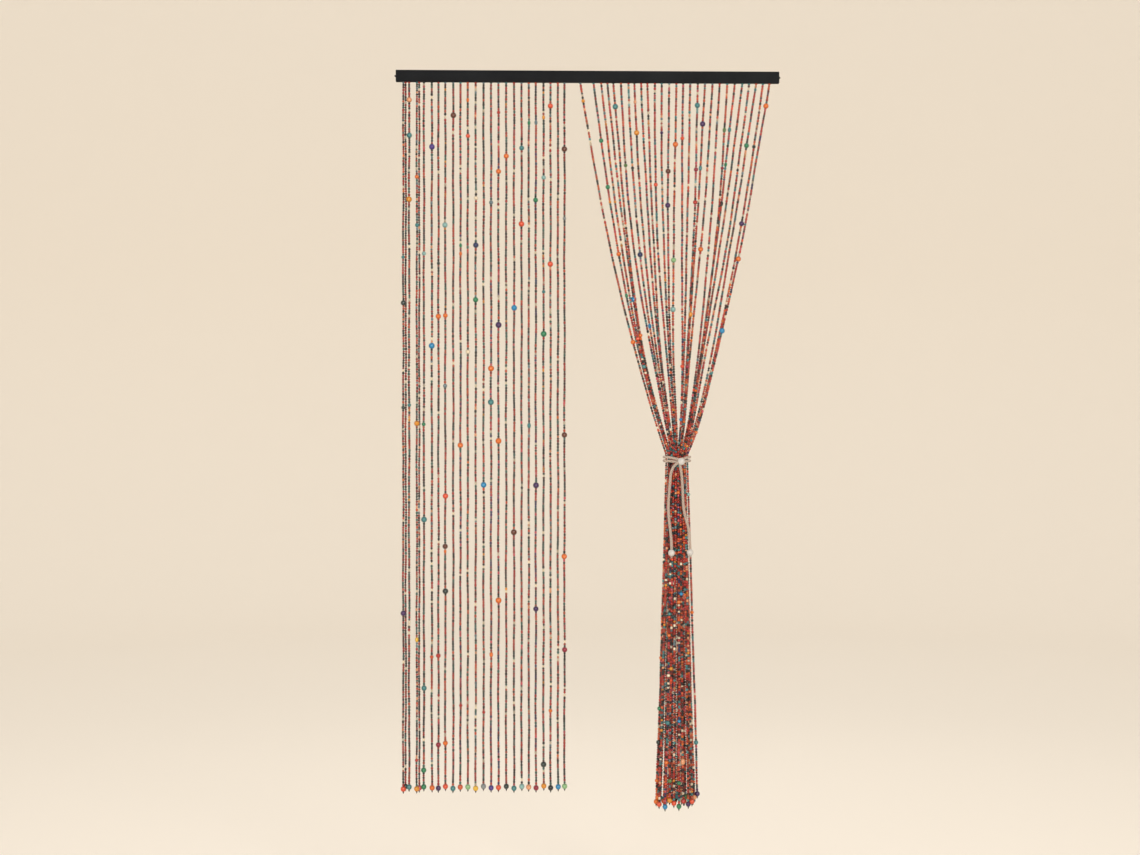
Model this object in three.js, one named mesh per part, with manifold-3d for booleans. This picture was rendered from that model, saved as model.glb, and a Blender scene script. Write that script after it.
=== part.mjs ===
// Bead door curtain on a black rail. The strands of the left half hang straight, and those
// of the right half are gathered at mid height by a cord tie with a ball slider.
// Millimetres. X runs to the right, Y away from the viewer and Z up. The origin is the
// middle of the rail's back face, which is what the rail is fixed by.

import * as THREE from 'three';
import * as BufferGeometryUtils from 'three/addons/utils/BufferGeometryUtils.js';
import Module from 'manifold-3d';

const wasm = await Module();
wasm.setup();

// Clearance between two pieces that touch
const GAP = 0.3;

// Rail, an extruded bar with a groove in its underside for the strips that hold the strands
const RAIL_LENGTH = 900;
const RAIL_HEIGHT = 27;
const RAIL_DEPTH = 12;
const RAIL_EDGE = 0.8;
const GROOVE_WIDTH = 7;
const GROOVE_HEIGHT = 5;
const RAIL_MIDDLE = -RAIL_DEPTH / 2;
const RAIL_UNDERSIDE = -RAIL_HEIGHT / 2;
const STUD_DIAMETER = 4.4;
const STUD_REACH = 3.2;
const STUD_SIDES = 12;

// Strip that the strands' threads are drawn through, set in the groove
const STRIP_WIDTH = GROOVE_WIDTH - 2 * GAP;
const STRIP_HEIGHT = GROOVE_HEIGHT - GAP;
const STRIP_MARGIN = 6;
const ROOT_DEPTH = 2;

// A strand is small beads threaded close together, so it reads as a thin rod. The two of a
// pair are slim, and so is every strand where the tie squeezes it.
const STRAND_WIDTH = 5.4;
const SLIM_WIDTH = 4.4;
const STRAIGHT_END_BEAD = 12.6;
const TAIL_END_BEAD = 11.8;
const STOP_WIDTH = 2.4;
const STOP_LENGTH = 4;

// A big bead as four-sided rings, in shares of its diameter
const BEAD_FLAT = 0.22;
const BEAD_HALF = 0.46;

// Straight half: places along the rail, two of which hold a pair of strands. The ends differ
// in height by a beat along the rail.
const STRAIGHT_FIRST = -434;
const STRAIGHT_PITCH = 17.22;
const STRAIGHT_END = 1653;
const STRAIGHT_END_SPREAD = 2.5;
const STRAIGHT_END_BEAT = 2.4;
const TWIN_PLACES = [0, 2];
const TWIN_SPACING = 5.2;
const TWIN_DEPTH = 4.6;
const TWIN_TURN = 160;

// How far each straight place is off its even spacing
const STRAIGHT_SHIFTS = [
  4.2, -2.2, 1.4, -2, -0.8, -2.5, -3.8, -2.3, -2.6, -2.8, -1.5, -0.2,
  0, 0.1, 1, 2.3, 2.6, 2.4, 1.6, 2.4, 1.8, 1.9, 0,
];

// Tied half: one strand beside the gap that is walked through, then the others
const TIED_FIRST = -19;
const TIED_SECOND = 12.5;
const TIED_PITCH = 16.63;

// How the sideways run of a gathered strand lags behind its drop, because it hangs slack,
// and how much sooner it takes its place in its row
const FAN_LAG = 0.45;
const FAN_ROW_LEAD = 2.2;
const FAN_STEPS = 8;

// The shares of the drop to the waist between which a strand goes from full width to slim
const FAN_SLIMMING = [0.5, 0.75];

// Each gathered strand's shift off its even place at the rail, and its sideways bulge half
// way down to the waist
const FAN_COURSES = [
  { shift: 4, bulge: 1 },
  { shift: 3, bulge: -2 },
  { shift: 4, bulge: -4 },
  { shift: 2, bulge: -5 },
  { shift: -1, bulge: -6 },
  { shift: 0, bulge: -10 },
  { shift: 1, bulge: -10 },
  { shift: -2, bulge: -7 },
  { shift: -3, bulge: -4 },
  { shift: -5, bulge: -5 },
  { shift: -4, bulge: -9 },
  { shift: -5, bulge: -7 },
  { shift: -4, bulge: -7 },
  { shift: -4, bulge: -5 },
  { shift: -5, bulge: -1 },
  { shift: -5, bulge: 1 },
  { shift: -4, bulge: 3 },
  { shift: -4, bulge: -1 },
  { shift: -3, bulge: 1 },
  { shift: -3, bulge: 3 },
  { shift: -2, bulge: 6 },
  { shift: -1, bulge: -2 },
  { shift: 0, bulge: -5 },
  { shift: -1, bulge: -2 },
  { shift: -1, bulge: -4 },
  { shift: -2, bulge: 1 },
  { shift: -4, bulge: -2 },
];

// Waist, where the tie squeezes the strands into three rows of 8, 11 and 8
const WAIST_X = 209;
const WAIST_TOP = -886;
const WAIST_HEIGHT = 19;
const WAIST_PITCH = 4.97;
const WAIST_ROW_PITCH = 5;
const WAIST_ROWS = [
  { row: -1, count: 8, endPitch: 11.2 },
  { row: 0, count: 11, endPitch: 10 },
  { row: 1, count: 8, endPitch: 11.2 },
];
const END_ROW_PITCH = 11.5;
const END_ROW_SHIFT = 1.8;
const END_MIDDLE = -1699;
const TAIL_LENGTH = WAIST_TOP - WAIST_HEIGHT - END_MIDDLE;
const TAIL_WIDENING = 0.2;
const TAIL_STEPS = 5;

// Height of each end bead against END_MIDDLE, along each row from left to right
const END_HEIGHTS = {
  '-1': [-7, -13, 2, -5, -12, 0, -7, -1],
  '0': [-3, 7, -2, 8, -1, 9, 0, 8, -1, 7, 15],
  '1': [3, -5, 5, -4, 4, -5, 4, -3],
};

// Tie: soft round cord, a ball slider and a ball on each free end. The turns leave a little
// room behind the slider, and the free cords settle within their first points.
const CORD_DIAMETER = 5.5;
const CORD_SIDES = 8;
const SLIDER_DIAMETER = 16.5;
const SLIDER_X = 218.5;
const SLIDER_Z = -902;
const SLIDER_ROOM = 1;
const END_BALL_DIAMETER = 16;
const END_BALL_FORWARD = 5;
const BALL_SEGMENTS = [14, 10];
const TURN_HALF_WIDTH = 30.2;
const TURN_HALF_DEPTH = 11;
const TURN_CORNER = 7.5;
const TURN_END_GAP = 0.4;
const TURN_LIFT = 3;
const TURN_LIFT_RUN = 9;
const TURN_STEPS = 44;
const FREE_CORD_STEPS = 18;
const FREE_CORD_SETTLED = 2;

// Each turn's height against the slider, beside the slider and at the bundle's sides
const TURNS = {
  upper: { atSlider: 3.6, atSides: 11.6 },
  lower: { atSlider: -3.2, atSides: 2.4 },
};

// Big beads of the straight half: place, drop below the rail, diameter
const STRAIGHT_BEADS = [
  [0, 518, 13],
  [0, 1244, 13],
  [1, 42, 13],
  [1, 125, 13],
  [1, 275, 14],
  [2, 800, 13],
  [3, 1025, 14],
  [3, 1420, 13],
  [3, 1612, 13],
  [4, 152, 14],
  [4, 618, 14],
  [5, 549, 13],
  [5, 1344, 11],
  [5, 1553, 12],
  [6, 335, 13],
  [6, 547, 11],
  [6, 970, 13],
  [6, 1088, 13],
  [6, 1193, 14],
  [6, 1549, 12],
  [7, 78, 14],
  [8, 851, 13],
  [9, 126, 10],
  [9, 632, 11],
  [10, 272, 10],
  [10, 382, 13],
  [10, 510, 13],
  [11, 944, 14],
  [12, 671, 14],
  [12, 750, 14],
  [13, 209, 12],
  [13, 569, 15],
  [13, 841, 14],
  [13, 1215, 14],
  [14, 173, 12],
  [15, 529, 14],
  [15, 1055, 14],
  [16, 154, 12],
  [16, 332, 14],
  [18, 276, 12],
  [18, 945, 14],
  [18, 1235, 13],
  [19, 223, 11],
  [19, 590, 14],
  [19, 1600, 14],
  [20, 55, 13],
  [20, 426, 13],
  [22, 156, 14],
  [22, 827, 13],
  [22, 1112, 13],
  [22, 1331, 13],
];

// Big beads between the rail and the tie: strand, drop below the rail, diameter
const FAN_BEADS = [
  [0, 609, 12],
  [1, 136, 11],
  [1, 245, 11],
  [1, 402, 11],
  [3, 508, 11],
  [4, 56, 13],
  [6, 403, 12],
  [7, 117, 13],
  [12, 207, 13],
  [12, 287, 13],
  [13, 144, 13],
  [13, 416, 12],
  [13, 532, 11],
  [16, 52, 13],
  [16, 203, 11],
  [16, 280, 13],
  [17, 96, 13],
  [18, 390, 12],
  [24, 146, 13],
  [25, 330, 12],
  [26, 53, 13],
  [26, 413, 13],
  [26, 582, 13],
];

// Big beads below the tie: strand, drop below the rail, diameter
const TAIL_BEADS = [
  [0, 1470, 10],
  [0, 1549, 10],
  [5, 1502, 10],
  [5, 1595, 10],
  [8, 1638, 10],
  [17, 1593, 11],
  [26, 1550, 10],
];

// Free cords of the tie, by the side of the slider that each comes out of: its course down
// as X and Z, and Y at the slider and once it has settled against the strands
const FREE_CORDS = {
  left: {
    course: [
      [206.5, -907.5],
      [199, -916],
      [194.1, -931],
      [191.8, -954],
      [189.4, -984],
      [188.2, -1009],
      [189.6, -1037],
      [192.5, -1063],
      [194.8, -1085],
      [195.1, -1108.2],
    ],
    outward: [-22.5, -18.8],
  },
  right: {
    course: [
      [214.5, -910.6],
      [217.8, -926],
      [220, -942],
      [221.6, -971],
      [223.5, -1009],
      [229.1, -1037],
      [234.6, -1056],
      [237.6, -1077],
      [238.5, -1106.8],
    ],
    outward: [-22.5, -18.8],
  },
};

// A closed four-sided rod through square rings from the top down, each with its half width
function rodGeometry(rings) {
  const positions = [];
  for (const { x, y, z, half } of rings) {
    positions.push(x - half, y - half, z);
    positions.push(x + half, y - half, z);
    positions.push(x + half, y + half, z);
    positions.push(x - half, y + half, z);
  }
  const indices = [0, 1, 2, 0, 2, 3];
  for (let ring = 0; ring < rings.length - 1; ring += 1) {
    for (let side = 0; side < 4; side += 1) {
      const upper = ring * 4 + side;
      const upperNext = ring * 4 + (side + 1) % 4;
      indices.push(upper, upper + 4, upperNext + 4);
      indices.push(upper, upperNext + 4, upperNext);
    }
  }
  const last = (rings.length - 1) * 4;
  indices.push(last, last + 2, last + 1);
  indices.push(last, last + 3, last + 2);
  const geometry = new THREE.BufferGeometry();
  geometry.setAttribute('position', new THREE.Float32BufferAttribute(positions, 3));
  geometry.setIndex(indices);
  return geometry;
}

// The rings that swell a strand into one bead, from the top down
function beadRings(middle, diameter, thinAbove, thinBelow) {
  return [
    { z: middle + diameter / 2, half: thinAbove },
    { z: middle + diameter * BEAD_FLAT, half: diameter * BEAD_HALF },
    { z: middle - diameter * BEAD_FLAT, half: diameter * BEAD_HALF },
    { z: middle - diameter / 2, half: thinBelow },
  ];
}

// A strand from top to bottom along route(z), as wide as width(z), with plain rings at even
// steps between beads. endBead is the diameter of the bead at its end, or 0.
function strandGeometry({ route, width, top, bottom, steps, beads, endBead }) {
  const swellings = beads.map(([drop, diameter]) => ({ middle: RAIL_UNDERSIDE - drop, diameter }));
  const rings = [];
  for (let step = 0; step <= steps; step += 1) {
    const z = top + (bottom - top) * step / steps;
    const clear = swellings.every(({ middle, diameter }) => Math.abs(z - middle) > diameter);
    const replaced = endBead > 0 && step === steps;
    if (clear && !replaced) {
      rings.push({ z, half: width(z) / 2 });
    }
  }
  for (const { middle, diameter } of swellings) {
    rings.push(...beadRings(middle, diameter, width(middle) / 2, width(middle) / 2));
  }
  if (endBead > 0) {
    rings.push(...beadRings(bottom, endBead, width(bottom) / 2, STOP_WIDTH / 2));
    rings.push({ z: bottom - endBead / 2 - STOP_LENGTH, half: STOP_WIDTH / 2 });
  }
  rings.sort((a, b) => b.z - a.z);
  return rodGeometry(rings.map(({ z, half }) => ({ ...route(z), z, half })));
}

// A closed geometry as a manifold-3d solid
function solidOf(geometry) {
  const plain = geometry.clone();
  plain.deleteAttribute('normal');
  plain.deleteAttribute('uv');
  const merged = BufferGeometryUtils.mergeVertices(plain);
  return new wasm.Manifold(new wasm.Mesh({
    numProp: 3,
    vertProperties: new Float32Array(merged.attributes.position.array),
    triVerts: new Uint32Array(merged.index.array),
  }));
}

// A manifold-3d solid as a three.js geometry
function geometryOf(solid) {
  const { vertProperties, triVerts } = solid.getMesh();
  const geometry = new THREE.BufferGeometry();
  geometry.setAttribute('position', new THREE.Float32BufferAttribute(vertProperties, 3));
  geometry.setIndex(Array.from(triVerts));
  geometry.computeVertexNormals();
  return geometry;
}

function boxAt(width, depth, height, x, y, z) {
  return new THREE.BoxGeometry(width, depth, height).translate(x, y, z);
}

// A bar or block and the strands whose roots are fused into it
function fused(backing, strands) {
  return geometryOf(strands.map(solidOf).reduce((whole, strand) => whole.add(strand), solidOf(backing)));
}

// The strip in the rail's groove, reaching past its first and last strand
function stripGeometry(firstX, lastX) {
  const width = lastX - firstX + 2 * STRIP_MARGIN;
  const middle = (firstX + lastX) / 2;
  return boxAt(width, STRIP_WIDTH, STRIP_HEIGHT, middle, RAIL_MIDDLE, RAIL_UNDERSIDE + STRIP_HEIGHT / 2);
}

// The big beads that a table gives to one strand, as drop and diameter
function beadsOn(table, wanted) {
  return table.filter(([strand]) => strand === wanted).map(([, drop, diameter]) => [drop, diameter]);
}

// Straight half

// A pair in one place leaves its root side by side, and one hangs in front of the other
function straightX(place) {
  return STRAIGHT_FIRST + place * STRAIGHT_PITCH + STRAIGHT_SHIFTS[place];
}

function straightStrands() {
  const strands = [];
  for (let place = 0; place < STRAIGHT_SHIFTS.length; place += 1) {
    const x = straightX(place);
    const end = RAIL_UNDERSIDE - STRAIGHT_END;
    const sides = TWIN_PLACES.includes(place) ? [-1, 1] : [0];
    for (const side of sides) {
      const route = (z) => {
        const turned = Math.min(1, (RAIL_UNDERSIDE - z) / TWIN_TURN);
        return {
          x: x + side * TWIN_SPACING / 2,
          y: RAIL_MIDDLE + side * TWIN_DEPTH * Math.max(0, turned),
        };
      };
      strands.push(strandGeometry({
        route,
        width: () => (side === 0 ? STRAND_WIDTH : SLIM_WIDTH),
        top: RAIL_UNDERSIDE + ROOT_DEPTH,
        bottom: end + STRAIGHT_END_SPREAD * Math.sin(place * STRAIGHT_END_BEAT + side),
        steps: side === 0 ? 1 : Math.round(STRAIGHT_END / TWIN_TURN),
        beads: side === 1 ? [] : beadsOn(STRAIGHT_BEADS, place),
        endBead: side === 1 ? 0 : STRAIGHT_END_BEAD,
      }));
    }
  }
  return strands;
}

// Tied half

// Where each gathered strand passes the waist, in the strands' order along the rail
const waistSlots = WAIST_ROWS.flatMap(({ row, count, endPitch }) => (
  Array.from({ length: count }, (_, index) => ({
    row,
    slot: index - (count - 1) / 2,
    endPitch,
    end: END_MIDDLE + END_HEIGHTS[row][index],
  }))
)).sort((a, b) => a.slot - b.slot || a.row - b.row);

function tiedTop(strand) {
  const even = strand === 0 ? TIED_FIRST : TIED_SECOND + (strand - 1) * TIED_PITCH;
  return even + FAN_COURSES[strand].shift;
}

// The share of the drop from the rail to the waist
function fanDrop(z) {
  return Math.max(0, (RAIL_UNDERSIDE - z) / (RAIL_UNDERSIDE - WAIST_TOP));
}

// The share of the way from the waist down to the ends
function tailDrop(z) {
  return Math.max(0, (WAIST_TOP - WAIST_HEIGHT - z) / TAIL_LENGTH);
}

// A width that goes from one to another while share runs from start to end
function widthBetween(from, to, share, start, end) {
  return from + (to - from) * Math.min(1, Math.max(0, (share - start) / (end - start)));
}

// Between the rail and the waist the strand sags below the straight line
function fanRoute(strand) {
  const { row, slot } = waistSlots[strand];
  const topX = tiedTop(strand);
  const waistX = WAIST_X + slot * WAIST_PITCH;
  return (z) => {
    const drop = fanDrop(z);
    const share = drop - FAN_LAG * drop * (1 - drop);
    return {
      x: topX + (waistX - topX) * share + FAN_COURSES[strand].bulge * 4 * drop * (1 - drop),
      y: RAIL_MIDDLE + row * WAIST_ROW_PITCH * Math.min(1, FAN_ROW_LEAD * share),
    };
  };
}

// Below the waist the rows and columns spread evenly to the end beads, and the front and back
// rows shift apart sideways so that neither hides the other
function tailRoute(strand) {
  const { row, slot, endPitch } = waistSlots[strand];
  return (z) => {
    const share = tailDrop(z);
    const pitch = WAIST_PITCH + (endPitch - WAIST_PITCH) * share;
    return {
      x: WAIST_X + slot * pitch + row * END_ROW_SHIFT * share,
      y: RAIL_MIDDLE + row * (WAIST_ROW_PITCH + (END_ROW_PITCH - WAIST_ROW_PITCH) * share),
    };
  };
}

function fanStrands() {
  return waistSlots.map((_, strand) => strandGeometry({
    route: fanRoute(strand),
    width: (z) => widthBetween(STRAND_WIDTH, SLIM_WIDTH, fanDrop(z), ...FAN_SLIMMING),
    top: RAIL_UNDERSIDE + ROOT_DEPTH,
    bottom: WAIST_TOP,
    steps: FAN_STEPS,
    beads: beadsOn(FAN_BEADS, strand),
    endBead: 0,
  }));
}

function tailStrands() {
  return waistSlots.map(({ end }, strand) => strandGeometry({
    route: tailRoute(strand),
    width: (z) => widthBetween(SLIM_WIDTH, STRAND_WIDTH, tailDrop(z), 0, TAIL_WIDENING),
    top: WAIST_TOP - WAIST_HEIGHT + ROOT_DEPTH,
    bottom: end,
    steps: TAIL_STEPS,
    beads: beadsOn(TAIL_BEADS, strand),
    endBead: TAIL_END_BEAD,
  }));
}

// The squeezed waist is an oval block, as wide and deep as the strands that pass through it
function waistGeometry() {
  const half = (WAIST_ROWS[1].count - 1) / 2 * WAIST_PITCH + SLIM_WIDTH / 2;
  const shoulder = (WAIST_ROWS[0].count - 1) / 2 * WAIST_PITCH + SLIM_WIDTH / 2;
  const depth = WAIST_ROW_PITCH + SLIM_WIDTH / 2;
  const shape = new THREE.Shape([
    new THREE.Vector2(-half, -SLIM_WIDTH / 2),
    new THREE.Vector2(-shoulder, -depth),
    new THREE.Vector2(shoulder, -depth),
    new THREE.Vector2(half, -SLIM_WIDTH / 2),
    new THREE.Vector2(half, SLIM_WIDTH / 2),
    new THREE.Vector2(shoulder, depth),
    new THREE.Vector2(-shoulder, depth),
    new THREE.Vector2(-half, SLIM_WIDTH / 2),
  ]);
  const height = WAIST_HEIGHT - GAP;
  return new THREE.ExtrudeGeometry(shape, { depth: height, bevelEnabled: false })
    .translate(WAIST_X, RAIL_MIDDLE, WAIST_TOP - WAIST_HEIGHT);
}

// Rail

// The bar's section with its bevelled edges and the groove, extruded along X
function railGeometry() {
  const halfDepth = RAIL_DEPTH / 2;
  const halfHeight = RAIL_HEIGHT / 2;
  const halfGroove = GROOVE_WIDTH / 2;
  const shape = new THREE.Shape([
    new THREE.Vector2(-halfDepth + RAIL_EDGE, -halfHeight),
    new THREE.Vector2(-halfGroove, -halfHeight),
    new THREE.Vector2(-halfGroove, -halfHeight + GROOVE_HEIGHT),
    new THREE.Vector2(halfGroove, -halfHeight + GROOVE_HEIGHT),
    new THREE.Vector2(halfGroove, -halfHeight),
    new THREE.Vector2(halfDepth - RAIL_EDGE, -halfHeight),
    new THREE.Vector2(halfDepth, -halfHeight + RAIL_EDGE),
    new THREE.Vector2(halfDepth, halfHeight - RAIL_EDGE),
    new THREE.Vector2(halfDepth - RAIL_EDGE, halfHeight),
    new THREE.Vector2(-halfDepth + RAIL_EDGE, halfHeight),
    new THREE.Vector2(-halfDepth, halfHeight - RAIL_EDGE),
    new THREE.Vector2(-halfDepth, -halfHeight + RAIL_EDGE),
  ]);
  return new THREE.ExtrudeGeometry(shape, { depth: RAIL_LENGTH, bevelEnabled: false })
    .translate(0, 0, -RAIL_LENGTH / 2)
    .rotateX(Math.PI / 2)
    .rotateZ(Math.PI / 2)
    .translate(0, RAIL_MIDDLE, 0);
}

// A short stud on the end of the rail, its flat end against the rail
function studGeometry(side) {
  const x = side * (RAIL_LENGTH / 2 + GAP + STUD_REACH / 2);
  return new THREE.CylinderGeometry(STUD_DIAMETER / 2, STUD_DIAMETER / 2, STUD_REACH, STUD_SIDES)
    .rotateZ(Math.PI / 2)
    .translate(x, RAIL_MIDDLE, 0);
}

// Tie

function cordSection() {
  const corners = Array.from({ length: CORD_SIDES }, (_, corner) => {
    const angle = (corner + 0.5) * 2 * Math.PI / CORD_SIDES;
    return new THREE.Vector2(CORD_DIAMETER / 2 * Math.cos(angle), CORD_DIAMETER / 2 * Math.sin(angle));
  });
  return new THREE.Shape(corners);
}

function cordGeometry(points, steps) {
  const path = new THREE.CatmullRomCurve3(points.map((point) => new THREE.Vector3(...point)));
  return new THREE.ExtrudeGeometry(cordSection(), { steps, extrudePath: path });
}

// The slider lies against the front row of strands, with a little room for the cord behind
const SLIDER_Y = RAIL_MIDDLE - WAIST_ROW_PITCH - SLIM_WIDTH / 2 - GAP - SLIDER_DIAMETER / 2
  - SLIDER_ROOM;

// The rounded rectangle that a turn follows round the bundle, from the slider to the left
// and all the way round, about the waist's middle
const SLIDER_SHIFT = SLIDER_X - WAIST_X;
const turnOutline = new THREE.Path();
{
  const straightX = TURN_HALF_WIDTH - TURN_CORNER;
  const straightY = TURN_HALF_DEPTH - TURN_CORNER;
  turnOutline.moveTo(SLIDER_SHIFT, -TURN_HALF_DEPTH);
  turnOutline.lineTo(-straightX, -TURN_HALF_DEPTH);
  turnOutline.absarc(-straightX, -straightY, TURN_CORNER, -Math.PI / 2, -Math.PI, true);
  turnOutline.lineTo(-TURN_HALF_WIDTH, straightY);
  turnOutline.absarc(-straightX, straightY, TURN_CORNER, Math.PI, Math.PI / 2, true);
  turnOutline.lineTo(straightX, TURN_HALF_DEPTH);
  turnOutline.absarc(straightX, straightY, TURN_CORNER, Math.PI / 2, 0, true);
  turnOutline.lineTo(TURN_HALF_WIDTH, -straightY);
  turnOutline.absarc(straightX, -straightY, TURN_CORNER, 0, -Math.PI / 2, true);
  turnOutline.lineTo(SLIDER_SHIFT, -TURN_HALF_DEPTH);
}

// A turn leaves the slider's left side, goes round the bundle and comes back to its right
// side. It lies against the strands all round and comes forward only beside the slider.
function turnGeometry({ atSlider, atSides }) {
  const reach = SLIDER_DIAMETER / 2 + GAP + TURN_END_GAP;
  const reachShare = reach / turnOutline.getLength();
  const points = [];
  for (let step = 0; step <= TURN_STEPS; step += 1) {
    const share = reachShare + (1 - 2 * reachShare) * step / TURN_STEPS;
    const { x, y } = turnOutline.getPointAt(share);
    const atFront = y < 0;
    const sideways = Math.abs(x - SLIDER_SHIFT);
    const widest = TURN_HALF_WIDTH + (x < SLIDER_SHIFT ? SLIDER_SHIFT : -SLIDER_SHIFT);
    const rise = atFront ? Math.sin(Math.PI / 2 * Math.min(1, sideways / widest)) : 1;
    const forward = atFront ? Math.max(0, 1 - (sideways - reach) / TURN_LIFT_RUN) : 0;
    points.push([
      WAIST_X + x,
      RAIL_MIDDLE + y - TURN_LIFT * forward,
      SLIDER_Z + atSlider + (atSides - atSlider) * rise,
    ]);
  }
  return cordGeometry(points, TURN_STEPS);
}

function freeCordGeometry({ course, outward }) {
  const [near, far] = outward;
  const points = course.map(([x, z], index) => {
    const settled = Math.min(1, index / FREE_CORD_SETTLED);
    return [x, near + (far - near) * settled, z];
  });
  return cordGeometry(points, FREE_CORD_STEPS);
}

function ballGeometry(diameter, x, y, z) {
  return new THREE.SphereGeometry(diameter / 2, ...BALL_SEGMENTS).rotateX(Math.PI / 2).translate(x, y, z);
}

// The ball hangs right under the cord's end
function endBallGeometry({ course, outward }) {
  const [x, z] = course[course.length - 1];
  return ballGeometry(END_BALL_DIAMETER, x, outward[1] - END_BALL_FORWARD, z - GAP - END_BALL_DIAMETER / 2);
}

// Finishes
const blackPaint = new THREE.MeshStandardMaterial({ color: 0x26282b, roughness: 0.45, metalness: 0.1 });
const beadStrand = new THREE.MeshStandardMaterial({ color: 0x8c4138, roughness: 0.5, metalness: 0 });
const paleCord = new THREE.MeshStandardMaterial({ color: 0xd3c4b8, roughness: 0.9, metalness: 0 });
const paleBall = new THREE.MeshStandardMaterial({ color: 0xdedad6, roughness: 0.45, metalness: 0 });

const curtain = new THREE.Group();

function place(name, geometry, material) {
  const mesh = new THREE.Mesh(geometry, material.clone());
  mesh.name = name;
  curtain.add(mesh);
}

const straightStrip = stripGeometry(straightX(0), straightX(STRAIGHT_SHIFTS.length - 1));
const fanStrip = stripGeometry(tiedTop(0), tiedTop(FAN_COURSES.length - 1));

place('rail', railGeometry(), blackPaint);
place('end_stud_left', studGeometry(-1), blackPaint);
place('end_stud_right', studGeometry(1), blackPaint);
place('strands_straight', fused(straightStrip, straightStrands()), beadStrand);
place('strands_fan', fused(fanStrip, fanStrands()), beadStrand);
place('strands_tail', fused(waistGeometry(), tailStrands()), beadStrand);
place('tie_turn_upper', turnGeometry(TURNS.upper), paleCord);
place('tie_turn_lower', turnGeometry(TURNS.lower), paleCord);
place('tie_slider', ballGeometry(SLIDER_DIAMETER, SLIDER_X, SLIDER_Y, SLIDER_Z), paleBall);
place('tie_cord_left', freeCordGeometry(FREE_CORDS.left), paleCord);
place('tie_cord_right', freeCordGeometry(FREE_CORDS.right), paleCord);
place('tie_end_ball_left', endBallGeometry(FREE_CORDS.left), paleBall);
place('tie_end_ball_right', endBallGeometry(FREE_CORDS.right), paleBall);

export default curtain;
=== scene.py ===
# A bead door curtain: 52 threads of small painted wood and bamboo beads hang from a black rail.
# The left half hangs straight, and the right half is gathered by a cord tie with a ball slider.
# Metres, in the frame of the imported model: X to the right, Y away from the viewer, Z up.

import math

import bpy
import numpy as np
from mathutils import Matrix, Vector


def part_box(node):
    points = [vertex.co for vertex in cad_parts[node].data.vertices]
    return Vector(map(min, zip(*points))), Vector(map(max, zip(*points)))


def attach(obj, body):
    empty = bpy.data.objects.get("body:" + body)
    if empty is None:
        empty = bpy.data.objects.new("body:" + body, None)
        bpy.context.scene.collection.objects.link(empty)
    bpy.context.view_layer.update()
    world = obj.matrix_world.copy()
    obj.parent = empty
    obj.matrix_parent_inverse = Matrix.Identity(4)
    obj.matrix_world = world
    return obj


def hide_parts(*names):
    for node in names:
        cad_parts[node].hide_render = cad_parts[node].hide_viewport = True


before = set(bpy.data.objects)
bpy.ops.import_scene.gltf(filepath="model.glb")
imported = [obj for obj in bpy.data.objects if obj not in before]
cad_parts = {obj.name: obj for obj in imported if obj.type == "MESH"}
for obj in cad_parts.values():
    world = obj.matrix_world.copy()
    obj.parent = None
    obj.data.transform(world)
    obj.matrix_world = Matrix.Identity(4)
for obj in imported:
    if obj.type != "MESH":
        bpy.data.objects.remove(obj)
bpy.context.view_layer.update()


# The camera stands four metres off at chest height, a hand's width to the left of what it
# aims at, so the rail's right end is a little farther away. It is level, so threads stay upright.
SEEN_WIDTH = 2.679
CAMERA_AWAY = 4.0
CAMERA_ASIDE = -0.095
CAMERA_AIM_X = -0.042
CAMERA_HEIGHT = -0.823

lens = bpy.data.cameras.new("camera")
lens.sensor_width = 36.0
lens.lens = lens.sensor_width * CAMERA_AWAY / SEEN_WIDTH
camera = bpy.data.objects.new("camera", lens)
camera.location = (CAMERA_AIM_X + CAMERA_ASIDE, -CAMERA_AWAY, CAMERA_HEIGHT)
camera.rotation_euler = (math.pi / 2, 0.0, math.atan2(CAMERA_ASIDE, CAMERA_AWAY))
bpy.context.collection.objects.link(camera)
bpy.context.scene.camera = camera


# The tie's two free ends: soft braided cotton cord that comes out of the ball slider, bends
# down over the beads and hangs, each end drawn through a turned ball and knotted under it.
CORD_RADIUS = 0.0032
CORD_SIDES = 14
CORD_COLOUR = "b5a192"
CORD_STEPS = 96
CORD_CUT_SHARE = 0.82
BRAID_PITCH = 0.0075
BRAID_STRANDS = 4
# How dark the braid's grooves are painted: painted shade
BRAID_GROOVE_PAINTED_SHADE = 0.42
SLIDER_CENTRE = (0.2178, -0.0226, -0.9026)

LEFT_ROUTE = [
    [0.2135, -0.0265, -0.9048],
    [0.2100, -0.0256, -0.9060],
    [0.2055, -0.0242, -0.9090],
    [0.1990, -0.0215, -0.9165],
    [0.1941, -0.0192, -0.9310],
    [0.1918, -0.0188, -0.9540],
    [0.1894, -0.0188, -0.9840],
    [0.1882, -0.0188, -1.0090],
    [0.1896, -0.0188, -1.0370],
    [0.1925, -0.0188, -1.0630],
    [0.1947, -0.0196, -1.0850],
    [0.1951, -0.0220, -1.1010],
    [0.1951, -0.0232, -1.1100],
]
RIGHT_ROUTE = [
    [0.2150, -0.0238, -0.9075],
    [0.2152, -0.0228, -0.9125],
    [0.2178, -0.0206, -0.9260],
    [0.2200, -0.0184, -0.9420],
    [0.2216, -0.0188, -0.9710],
    [0.2235, -0.0188, -1.0090],
    [0.2291, -0.0188, -1.0370],
    [0.2346, -0.0188, -1.0560],
    [0.2374, -0.0194, -1.0770],
    [0.2385, -0.0218, -1.0980],
    [0.2385, -0.0232, -1.1086],
]


def linear(hex_colour):
    """The colour that a screen's hex value stands for, as light: each share is raised to 2.4
    after 0.055 is added and the sum divided by 1.055."""
    share = np.array([int(hex_colour[k:k + 2], 16) for k in (0, 2, 4)]) / 255
    return np.where(share < 0.04045, share / 12.92, ((share + 0.055) / 1.055) ** 2.4)


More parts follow.
